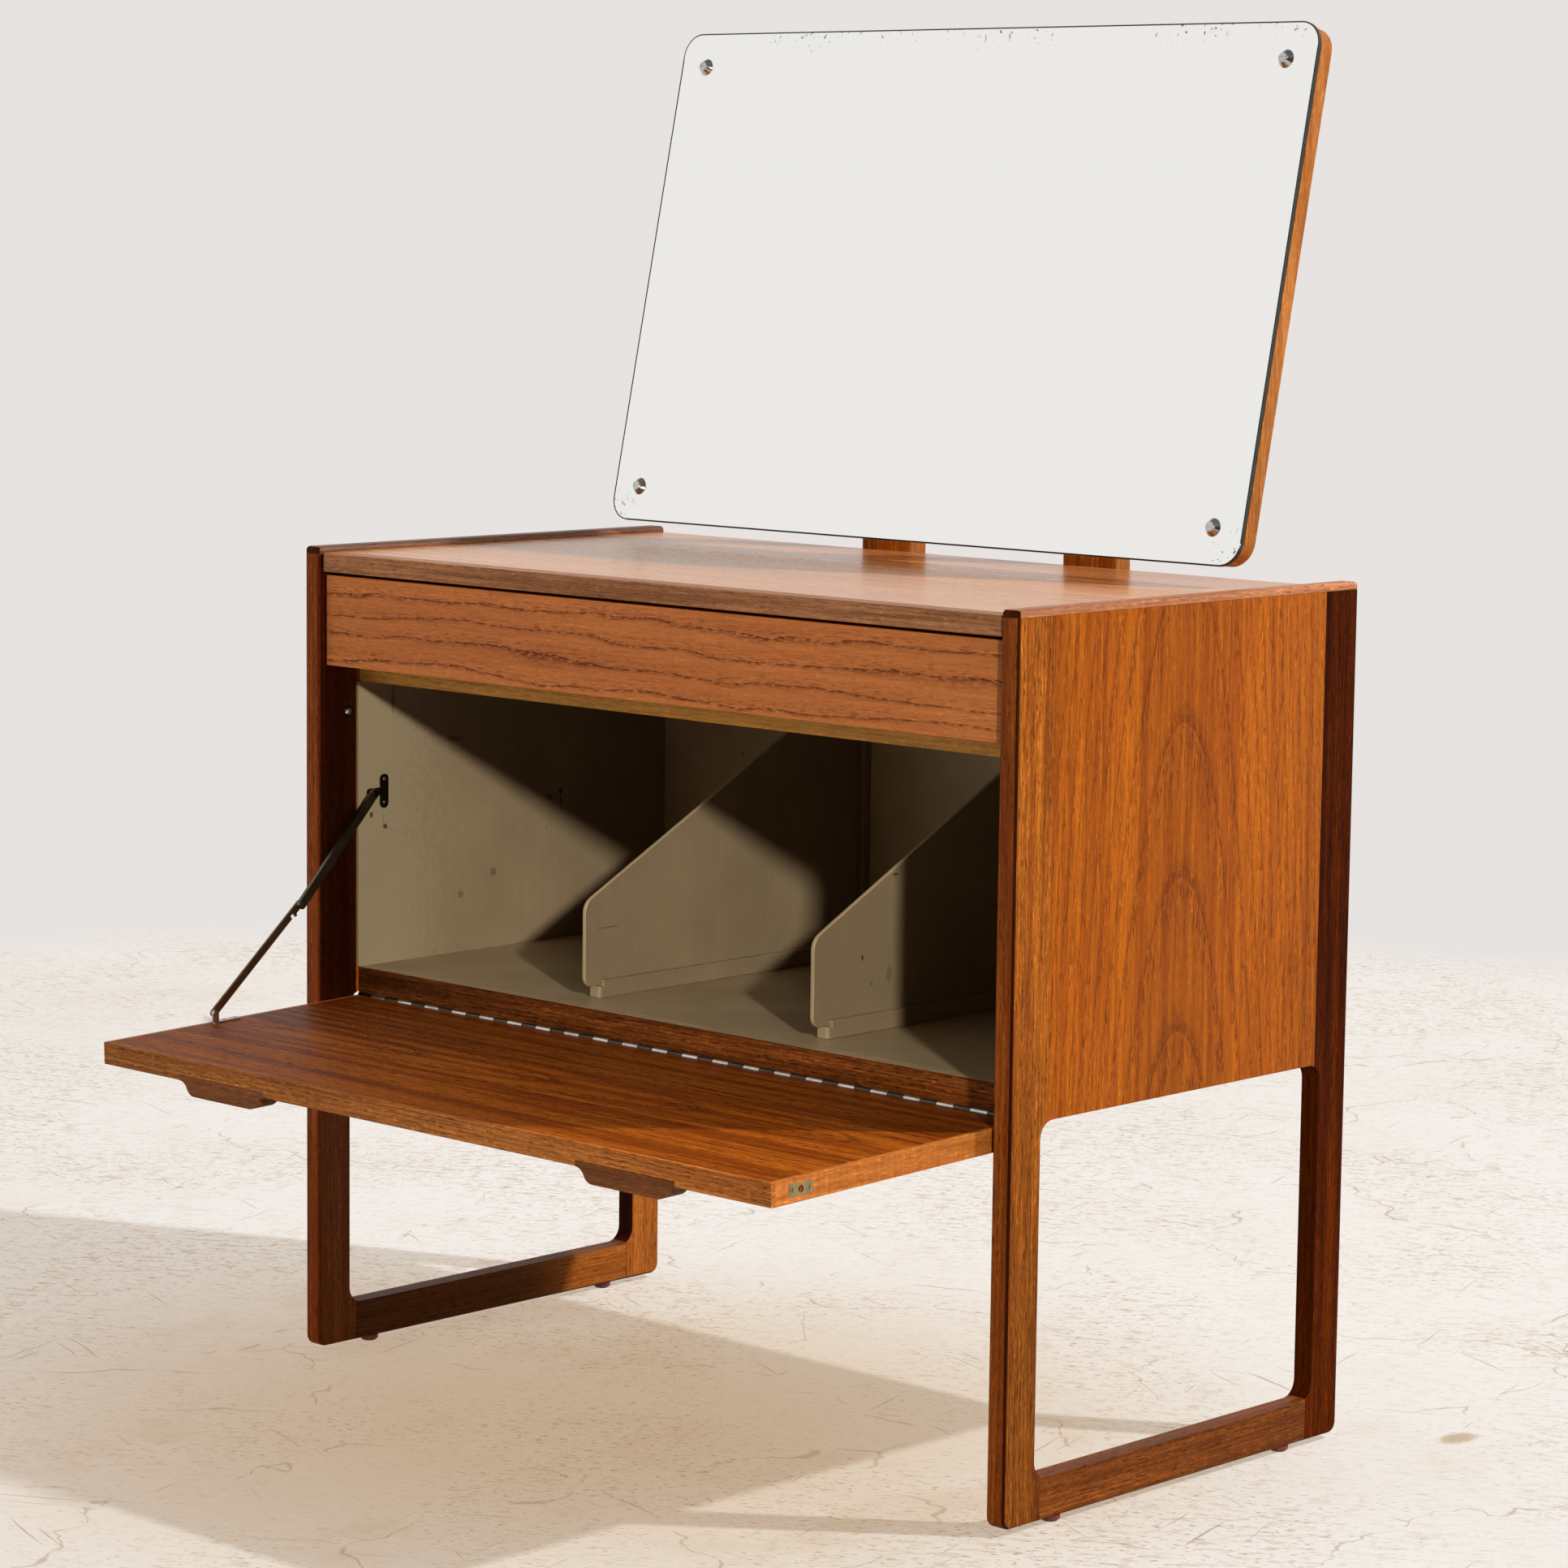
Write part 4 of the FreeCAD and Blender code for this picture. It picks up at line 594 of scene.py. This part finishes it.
def timber(
    name, tones, along, across, seed, gap=0.004, wave=0.0015, reach=0.2, line=0.5, pores=0.8, streak=0.6,
    band=0.22, fibre=0.40, ripple=0.0, arch=None, slant=0.5, rough=0.44, level=0.10, fade=None, spots=(),
):
    """Oiled timber: growth rings, dashed pores, streaks, fibres and a satin skin.

    along and across are the axes of the grain and of the board's width. gap is the distance between rings,
    wave how far they wander in one reach of the grain, and slant how steeply they lean through the board.
    line, pores, streak, band, fibre and ripple say how strongly each kind of figure shows. arch nests the
    rings in flames: the flames' axis, their sharpness and the step between tips. fade carries a range of
    places on one axis to a range of shades; on the frames and the door it is painted light and shade. rough
    and level set the skin, and spots are marks: stains, and a hole's painted shade.
    """
    light, middle, dark = tones
    nodes = Finish(name)
    depth = next(axis for axis in AXES if axis not in (along, across))
    parts = dict(zip(AXES, nodes.add("ShaderNodeSeparateXYZ", {0: nodes.place}).outputs))
    start = tuple((seed * step) % 5 for step in WOOD_STEPS)
    shifted = nodes.vector("ADD", nodes.place, start)

    def field(long, wide, detail=2, roughness=0.5):
        """Noise with cells that long along the grain and that wide across it."""
        scale = tuple(1 / long if axis == along else 1 / wide for axis in AXES)
        return nodes.noise(nodes.vector("MULTIPLY", shifted, scale), 1, detail, roughness)

    sway = nodes.math("MULTIPLY_ADD", field(reach, reach / 3), 2 * wave, -wave)
    wiggle = nodes.math("MULTIPLY_ADD", field(*WIGGLE), WIGGLE_SHARE * wave, -WIGGLE_SHARE / 2 * wave)
    side = nodes.math("MULTIPLY_ADD", parts[depth], slant, parts[across])
    side = nodes.math("ADD", side, nodes.math("ADD", sway, wiggle))
    if arch:
        heart, sharpness, step = arch
        off = nodes.math("SUBTRACT", side, heart)
        rise = nodes.math("MULTIPLY", nodes.math("MULTIPLY", off, off), 0.5 / sharpness)
        rings = nodes.math("DIVIDE", nodes.math("ADD", rise, parts[along]), step)
    else:
        drift = nodes.math("MULTIPLY", field(RING_DRIFT, gap * 3, 1), DRIFT_RINGS)
        rings = nodes.math("ADD", nodes.math("DIVIDE", side, gap), drift)
    phase = nodes.math("FRACT", rings)
    late = nodes.math("MULTIPLY", nodes.spread(phase, *LATE_WOOD), nodes.spread(phase, *LATE_END, 1.0, 0.0))
    late = nodes.math("POWER", late, 3.0)
    broken = nodes.spread(field(*BREAKS), 0.38, 0.56, 0.12, 1.0)
    early = nodes.spread(phase, *EARLY_WOOD, 1.0, 0.30)
    dash = nodes.spread(field(*DASHES), 0.53, 0.64)
    fine = nodes.spread(field(*FINE_PORES), 0.56, 0.72, 0.0, 0.6)
    pore = nodes.math("MULTIPLY", nodes.math("MAXIMUM", dash, fine), early)
    thread = field(*THREADS)
    fleck = nodes.spread(field(*FLECKS), 0.56, 0.70)
    stripe = field(*STRIPES)
    broad = field(*BROAD_BANDS)

    softness = STRIPE_SOFTNESS / streak
    colour = nodes.mix(nodes.spread(stripe, 0.5 - softness, 0.5 + softness), middle, light)
    colour = nodes.shade(nodes.spread(broad, 0.25, 0.75, 1 - band, 1 + band, smooth=False), colour)
    colour = nodes.shade(nodes.spread(thread, 0.25, 0.75, 1 - fibre, 1 + fibre, smooth=False), colour)
    colour = nodes.shade(nodes.math("MULTIPLY_ADD", fleck, fibre, 1.0), colour)
    if ripple:
        figure = field(*RIPPLES)
        colour = nodes.shade(nodes.spread(figure, 0.3, 0.7, 1 - ripple, 1 + ripple, smooth=False), colour)
    colour = nodes.mix(nodes.math("MULTIPLY", nodes.math("MULTIPLY", late, broken), line), colour, dark)
    colour = nodes.mix(nodes.math("MULTIPLY", pore, pores), colour, dark)
    if fade:
        axis, *span = fade
        colour = nodes.shade(nodes.spread(parts[axis], *span), colour)
    for spot in spots:
        colour = nodes.spotted(colour, *spot)
    skin = nodes.math("MULTIPLY_ADD", pore, 0.12, nodes.spread(stripe, 0.2, 0.8, rough - 0.03, rough + 0.05))
    height = nodes.math("SUBTRACT", nodes.math("MULTIPLY", thread, 0.35), pore)
    normal = nodes.bump(height, GRAIN_DEPTH)
    return nodes.done(colour, skin, normal, {"IOR": WOOD_IOR, "Specular IOR Level": level})


def painted(name, base, seed, marks=()):
    """Old eggshell paint: mottled, brushed, scuffed and stained, with marks where asked."""
    nodes = Finish(name)
    place = nodes.vector("ADD", nodes.place, tuple(seed * step for step in PAINT_STEPS))
    mottle = nodes.noise(place, *MOTTLES)
    grain = nodes.noise(place, *GRAINS)
    strokes = nodes.noise(nodes.vector("MULTIPLY", place, BRUSH_CELLS), 1, 3, 0.6)
    pale = tuple(part * PALE_SHARE for part in base)
    deep = tuple(part * DEEP_SHARE for part in base)
    spotted = tuple(part * share for part, share in zip(base, PAINT_STAIN_SHARES))
    colour = nodes.mix(nodes.spread(mottle, 0.3, 0.72), deep, pale)
    colour = nodes.shade(nodes.spread(strokes, 0.3, 0.7, 0.96, 1.04, smooth=False), colour)
    stain = nodes.noise(place, *PAINT_STAINS)
    colour = nodes.mix(nodes.spread(stain, 0.62, 0.80, 0.0, 0.30), colour, spotted)
    specks = nodes.noise(place, *SPECKS)
    colour = nodes.mix(nodes.spread(specks, 0.76, 0.79, 0.0, 0.7), colour, PAINT_SPECK)
    space = nodes.vector("MULTIPLY", nodes.turned(place, SCRATCH_TURN), SCRATCH_CELLS)
    scratches = nodes.spread(nodes.noise(space), 0.77, 0.80)
    patches = nodes.spread(nodes.noise(place, *SCUFFED_PATCHES), 0.50, 0.62)
    scratches = nodes.math("MULTIPLY", nodes.math("MULTIPLY", scratches, patches), 0.45)
    colour = nodes.mix(scratches, colour, PAINT_SCRATCH)
    for mark in marks:
        colour = nodes.spotted(colour, *mark)
    rough = nodes.spread(mottle, 0.3, 0.7, 0.44, 0.34)
    normal = nodes.bump(nodes.math("MULTIPLY_ADD", grain, 0.6, strokes), GRAIN_DEPTH)
    return nodes.done(colour, rough, normal, {"Specular IOR Level": PAINT_SHINE})


def khaki(level):
    """Colour of the compartment's paint, at a level of its own; a raised level is painted light."""
    return tuple(part * level for part in KHAKI)


def metal(name, colour, dull, roughness, seed, grime):
    """Plated or bare metal, clouded and grimed."""
    nodes = Finish(name)
    place = nodes.vector("ADD", nodes.place, tuple(seed * step for step in METAL_STEPS))
    cloud = nodes.noise(place, *METAL_CLOUDS)
    scuffs = nodes.noise(nodes.vector("MULTIPLY", place, SCUFF_CELLS), 1, 3)
    tint = nodes.mix(nodes.spread(cloud, 0.35, 0.75, 0.0, grime), colour, dull)
    clouded = nodes.spread(cloud, 0.3, 0.8, roughness * 0.8, roughness * 1.5)
    rough = nodes.math("ADD", clouded, nodes.math("MULTIPLY", scuffs, 0.08))
    return nodes.done(tint, rough, nodes.bump(scuffs, SCUFF_DEPTH), {"Metallic": 1.0})


def mirror_silver(name):
    """Silvered glass, foxed by its edges."""
    nodes = Finish(name)
    speck = nodes.noise(nodes.place, *FOXED_SPECKS)
    parts = nodes.add("ShaderNodeSeparateXYZ", {0: nodes.place}).outputs
    patches = nodes.noise(nodes.place, *FOXED_PATCHES)
    low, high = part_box("mirror_glass")
    ends = nodes.spread(nodes.math("ABSOLUTE", parts[0]), high.x - FOXED_REACH, high.x - FOXED_EDGE)
    foot = nodes.spread(parts[2], low.z + FOXED_REACH, low.z + FOXED_EDGE)
    head = nodes.spread(parts[2], high.z - FOXED_REACH / 2, high.z - FOXED_EDGE)
    by_edge = nodes.math("MAXIMUM", nodes.math("MULTIPLY", ends, foot), head)
    by_edge = nodes.math("MULTIPLY", by_edge, nodes.spread(patches, 0.40, 0.55))
    foxed = nodes.math("MULTIPLY", nodes.spread(speck, 0.62, 0.66), by_edge)
    rough = nodes.spread(foxed, 0, 1, 0.015, 0.4)
    return nodes.done(nodes.mix(foxed, SILVER, FOXED), rough, fixed={"Metallic": 1.0})


def plain(name, colour, roughness, mottling=0.15):
    """Moulded or plain material with a little mottling."""
    nodes = Finish(name)
    value = nodes.noise(nodes.place, *PLAIN_MOTTLES)
    shaded = nodes.shade(nodes.spread(value, 0.3, 0.7, 1 - mottling, 1 + mottling, smooth=False), colour)
    normal = nodes.bump(nodes.noise(nodes.place, *PLAIN_RELIEF), RELIEF_DEPTH)
    return nodes.done(shaded, nodes.spread(value, 0.3, 0.7, roughness * 0.9, roughness * 1.15), normal)


def softened(node, width, materials, segments=2, split=None):
    """Copy of a CAD node, its arrises eased, that stands for it; split gives a face's material number."""
    mesh = frame["nodes"][node].data.copy()
    mesh.materials.clear()
    for material in materials:
        mesh.materials.append(material)
    work = bmesh.new()
    work.from_mesh(mesh)
    bmesh.ops.remove_doubles(work, verts=work.verts, dist=WELD)
    bmesh.ops.dissolve_limit(work, angle_limit=FLAT_ANGLE, verts=work.verts, edges=work.edges)
    inner = [edge for edge in work.edges if len(edge.link_faces) == 2]
    sharp = [edge for edge in inner if edge.calc_face_angle(0) > SHARP_ANGLE]
    if width:
        bmesh.ops.bevel(
            work, geom=sharp, offset=width, segments=segments, profile=0.5, affect="EDGES",
            clamp_overlap=True,
        )
    for face in work.faces:
        face.smooth = True
        face.material_index = split(face) if split else 0
    work.to_mesh(mesh)
    work.free()
    piece = linked(f"{node}_eased", mesh)
    weighted = piece.modifiers.new("normals", "WEIGHTED_NORMAL")
    weighted.keep_sharp = True
    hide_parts(node)
    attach(piece, BODY_OF[node])
    return piece


def paint_node(node, material):
    """CAD node with its shape kept and a new material."""
    thing = frame["nodes"][node]
    thing.data.materials.clear()
    thing.data.materials.append(material)


def add_piece(name, body, work, material):
    """Mesh piece that rides on a body."""
    mesh = bpy.data.meshes.new(name)
    work.to_mesh(mesh)
    work.free()
    mesh.materials.append(material)
    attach(linked(name, mesh), body)


def dome(name, body, centre, axis, head, material):
    """Low domed head of a screw or rivet, standing out along one axis; head is its radius and height."""
    radius, height = head
    work = bmesh.new()
    bmesh.ops.create_uvsphere(work, u_segments=HEAD_SEGMENTS, v_segments=HEAD_RINGS, radius=1)
    size = [radius, radius, radius]
    size[AXES.index(axis)] = height
    bmesh.ops.scale(work, vec=size, verts=work.verts)
    bmesh.ops.translate(work, vec=centre, verts=work.verts)
    for face in work.faces:
        face.smooth = True
    add_piece(name, body, work, material)


def block(name, body, low, high, material):
    """Small box between two corners."""
    work = bmesh.new()
    bmesh.ops.create_cube(work, size=1)
    bmesh.ops.scale(work, vec=[b - a for a, b in zip(low, high)], verts=work.verts)
    bmesh.ops.translate(work, vec=[(a + b) / 2 for a, b in zip(low, high)], verts=work.verts)
    add_piece(name, body, work, material)


def frame_side(normal, outward, part):
    """Material of a frame's face: 0 front and narrow faces, 1 outside, 2 inside, 3 darkened arrises."""
    if part == "top_strip":
        return 3 if normal.y < -SLANTED else 0
    if normal.x * outward > FACING:
        return 1
    if normal.x * outward < -FACING:
        return 2
    arris = normal.x * outward > ARRIS_OUTWARD and normal.y < -ARRIS_FORWARD
    return 3 if part == "front_post" and arris else 0


def side_frame(side, outward):
    """Finishes of one side's frame and panel."""
    seed = FIRST_SEEDS[side]
    for part, along, across, tones, shine, rough, fade, inner_light_and_shade in FRAME_MEMBERS:
        node = f"{side}_{part}"
        # On the left, the front post's front takes painted light and the top strip painted shade.
        outer_tones, front_tones, inner_tones = LEFT_TONES.get(part, tones) if side == "left" else tones
        # The fades outside and inside are painted light and shade.
        outer = timber(
            f"outer_{node}", outer_tones, along, across, seed, gap=0.0036, wave=0.0010, line=0.85, pores=0.9,
            fibre=0.55, fade=fade, level=shine, rough=rough,
        )
        front = timber(
            f"front_{node}", front_tones, along, "x", seed, gap=0.0055, wave=0.0008, line=0.6, streak=0.9,
            level=shine,
        )
        inner = timber(
            f"inner_{node}", inner_tones, along, across, seed, fibre=0.35, fade=inner_light_and_shade, level=0.06,
        )
        dark_faces = timber(f"worn_{node}", DEEP_TONES, along, "x", seed, level=0.06)
        softened(
            node, ARRIS, [front, outer, inner, dark_faces],
            split=lambda face: frame_side(face.normal, outward, part),
        )
        seed += 1
    panel = timber(
        f"teak_{side}_side_panel", PANEL_TONES, "z", "y", seed, wave=0.006, reach=0.5, line=0.72, band=0.16,
        fibre=0.36, arch=PANEL_ARCH, slant=0, rough=0.42,
    )
    softened(f"{side}_side_panel", 0, [panel])


def top():
    """Finishes of the top board and its lipping."""
    board = timber(
        "teak_top_panel", TOP_TONES, "x", "y", seed=21, gap=0.012, wave=0.008, reach=0.5, line=0.25,
        pores=0.35, streak=0.7, band=0.20, fibre=0.14, rough=0.22, level=0.55,
    )
    softened("top_panel", THIN_ARRIS, [board])
    lipping = timber(
        "teak_top_lipping", LIPPING_TONES, "x", "z", seed=22, gap=0.0045, wave=0.002, line=0.7, pores=0.6,
        streak=1.2, rough=0.36,
    )
    softened("top_lipping", ARRIS, [lipping])


def drawer():
    """Finishes of the drawer's front, the rail under it and the lip of its shelf."""
    # The front's spot is a small hole's painted shade.
    front = timber(
        "teak_drawer_front", DRAWER_TONES, "x", "z", seed=23, gap=0.020, wave=0.0085, reach=0.11, line=0.95,
        pores=0.55, streak=0.5, band=0.10, fibre=0.20, spots=(DRAWER_HOLE_SHADE,),
    )
    softened("drawer_front", ARRIS, [front])
    lip = timber(
        "teak_shelf_lip", LIP_TONES, "x", "z", seed=24, gap=0.0034, wave=0.0006, line=0.9, pores=1.0,
        fibre=0.7, level=0.06, fade=LIP_FADE,
    )
    # The lip's top is a lighter copy of the compartment's paint: painted light.
    paint = painted("lip_paint", khaki(1.5), seed=4)
    softened("shelf_lip", ARRIS, [lip, paint], split=lambda face: 1 if face.normal.z > FACING else 0)
    # The rail's golden wood is brightened as painted light for the bounce from the floor.
    rail = timber("gold_rail_and_bounce", GOLD_AND_BOUNCE_TONES, "x", "z", seed=25, wave=0.001, line=0.4, pores=0.4)
    softened("drawer_shelf_rail", BOX_ARRIS, [rail])


def plain_wood():
    """Finishes of the drawer's box, its runners and the rail behind the top."""
    for seed, (node, along, across) in enumerate(BOX_NODES, FIRST_BOX_SEED):
        wood = timber(
            f"box_{node}", BOX_TONES, along, across, seed, gap=0.006, wave=0.003, line=0.3, pores=0.3,
            fibre=0.2, rough=0.55, level=0.25,
        )
        softened(node, BOX_ARRIS, [wood])


def compartment():
    """Painted lining, dividers and battens, and the bare back."""
    paint = painted("khaki_paint", KHAKI, seed=3)
    # The left lining and the compartment's floor are lighter copies of the one paint: painted light.
    left = painted("khaki_paint_left", khaki(1.12), seed=5, marks=LINER_MARKS_AND_LIGHT)
    shelf = painted("khaki_paint_floor", khaki(1.32), seed=6)
    linings = {"left_liner": left, "right_liner": paint, "bottom_shelf": shelf, "drawer_shelf": paint}
    for node, finish in linings.items():
        softened(node, PAINTED_ARRIS, [finish])
    board = timber(
        "back_board", BOX_TONES, "x", "z", seed=31, gap=0.01, wave=0.008, line=0.3, pores=0.3, fibre=0.18,
        rough=0.55, level=0.25,
    )
    # Painted light: the back's paint at nearly twice its level.
    lit_back_paint = painted("khaki_paint_back_lit", khaki(1.9), seed=10)
    softened(
        "back_panel", PAINTED_ARRIS, [lit_back_paint, board],
        split=lambda face: 1 if face.normal.y > FACING else 0,
    )
    # Painted highlights: the dividers' front edges and the battens' noses are lighter copies of the paint.
    edge = painted("divider_edge_highlight", khaki(1.8), seed=9)
    nose = painted("batten_nose_highlight", khaki(1.5), seed=11)
    for side, seed, marks in (("left", 7, LEFT_DIVIDER_MARKS), ("right", 8, RIGHT_DIVIDER_MARKS)):
        divider = [painted(f"divider_paint_{side}", KHAKI, seed, marks), edge]
        softened(
            f"{side}_divider", ROUND_ARRIS, divider, segments=3,
            split=lambda face: 0 if abs(face.normal.x) > FACING else 1,
        )
        softened(
            f"{side}_floor_batten", ROUND_ARRIS, [paint, nose], segments=3,
            split=lambda face: 1 if face.normal.y < -NOSE else 0,
        )
        softened(f"{side}_back_batten", WIDE_ARRIS, [paint])


def door():
    """Finishes of the fall front."""
    # The panel's fade is painted light at the front and painted shade by the hinge.
    panel = timber(
        "teak_door_panel", DOOR_TONES, "x", "y", seed=41, wave=0.004, reach=0.35, line=0.75, pores=1.0,
        streak=1.1, band=0.20, fibre=0.36, arch=DOOR_ARCH, slant=0, rough=0.50, fade=DOOR_PAINTED_LIGHT,
    )
    softened("door_panel", 0, [panel])
    front = timber("teak_door_front", EDGE_TONES, "x", "z", seed=42, line=0.9, pores=0.9, fibre=0.55)
    softened("door_front_lipping", THIN_ARRIS, [front])
    for side, seed in (("left", 43), ("right", 44)):
        edge = timber(
            f"teak_door_{side}", EDGE_TONES, "y", "z", seed, wave=0.001, line=0.25, pores=0.4, ripple=0.10,
        )
        softened(f"door_{side}_lipping", THIN_ARRIS, [edge])
        handle = timber(f"teak_{side}_handle", DARK_TONES, "x", "z", seed + 3, pores=0.4)
        softened(f"{side}_handle", ROUND_ARRIS, [handle])


def mirror_glass():
    """Silvered glass with a bare rim."""
    silver = mirror_silver("mirror_silver")
    edge = plain("glass_edge", GLASS_EDGE, 0.5, mottling=0.1)
    glass = softened(
        "mirror_glass", THIN_ARRIS, [silver, edge], split=lambda face: 0 if face.normal.y < -FACING else 1,
    )
    work = bmesh.new()
    work.from_mesh(glass.data)
    front = [face for face in work.faces if face.material_index == 0]
    rim = bmesh.ops.inset_region(work, faces=front, thickness=GLASS_RIM, use_even_offset=True)
    for face in rim["faces"]:
        face.material_index = 1
    work.to_mesh(glass.data)
    work.free()


def mirror():
    """Finishes of the mirror's board, glass and posts."""
    board = timber("mirror_board_teak", BOARD_TONES, "z", "y", seed=51, wave=0.001, line=0.4, pores=0.5)
    softened("mirror_board", BOARD_ARRIS, [board], segments=3)
    mirror_glass()
    for side, seed in (("left", 53), ("right", 54)):
        flank = timber(
            f"orange_{side}_post", BOARD_TONES, "z", "y", seed, gap=0.005, wave=0.0008, line=0.3, pores=0.4,
        )
        front = timber(
            f"dark_{side}_post", POST_TONES, "z", "x", seed, gap=0.0055, wave=0.0006, line=0.9, pores=0.5,
            streak=0.8,
        )
        softened(
            f"{side}_mirror_post", WIDE_ARRIS, [flank, front],
            split=lambda face: 1 if face.normal.y < -FACING else 0,
        )


def slotted(name, node, centre, axis, material, slot_shade):
    """Low slotted screw head on a CAD node's body, its slot a black block of painted shade."""
    dome(name, BODY_OF[node], centre, axis, SCREW_HEAD, material)
    half = [SLOT_LENGTH, SLOT_LENGTH, SLOT_LENGTH]
    half[AXES.index(axis)] = SLOT_HEIGHT
    half[1 if axis == "x" else 0] = SLOT_WIDTH
    low = [place - size for place, size in zip(centre, half)]
    high = [place + size for place, size in zip(centre, half)]
    block(f"{name}_slot", BODY_OF[node], low, high, slot_shade)


def strike_screws(brass, slot_shade):
    """Two screws in each strike plate."""
    low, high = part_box("strike_plates")
    middle, span = (low.y + high.y) / 2, (high.y - low.y) / 2
    for side, face, outward in (("left", low.x, -1), ("right", high.x, 1)):
        for end, along in (("front", -1), ("back", 1)):
            place = middle + along * span * STRIKE_SHARE
            centre = (face - STRIKE_INSET * outward, place, (low.z + high.z) / 2)
            slotted(f"{side}_strike_screw_{end}", "strike_plates", centre, "x", brass, slot_shade)


def stay_screws(plated, chrome, slot_shade):
    """Screws and rivet of the stay's brackets."""
    low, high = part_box("stay_door_bracket")
    for end, share in STAY_PLATE_SHARES.items():
        centre = ((low.x + high.x) / 2, low.y + share * (high.y - low.y), low.z + STAY_PLATE_THICKNESS)
        slotted(f"stay_plate_screw_{end}", "stay_door_bracket", centre, "z", plated, slot_shade)
    for end, centre in WALL_SCREW_PLACES.items():
        dome(f"wall_screw_{end}", BODY_OF["stay_wall_bracket"], centre, "x", WALL_SCREW_HEAD, chrome)
    dome("wall_rivet_head", BODY_OF["stay_upper_arm"], RIVET_PLACE, "x", RIVET_HEAD, chrome)


def hardware():
    """Metal fittings and glides."""
    metals = {name: metal(name, *values) for name, values in METALS.items()}
    for node, name in METAL_OF.items():
        paint_node(node, metals[name])
    paint_node("foot_glides", plain("glide_nylon", GLIDE_RED, 0.5))
    slot_shade = plain("screw_slot_shade", SLOT_SHADE, 0.6)
    strike_screws(metals["strike_brass"], slot_shade)
    stay_screws(metals["bracket_steel"], metals["chrome"], slot_shade)


add_camera()
add_world()
ground = add_floor()
add_lamp(*KEY_LAMP)
side_lamp = add_lamp(*SIDE_LAMP)
side_frame("left", -1)
side_frame("right", 1)
top()
drawer()
plain_wood()
compartment()
door()
mirror()
hardware()
flagged = [bpy.data.objects[f"left_{part}_eased"] for part in ("front_post", "back_post", "bottom_rail")]
shade_from(side_lamp, [ground] + flagged)
bpy.context.scene.view_settings.view_transform = "Standard"
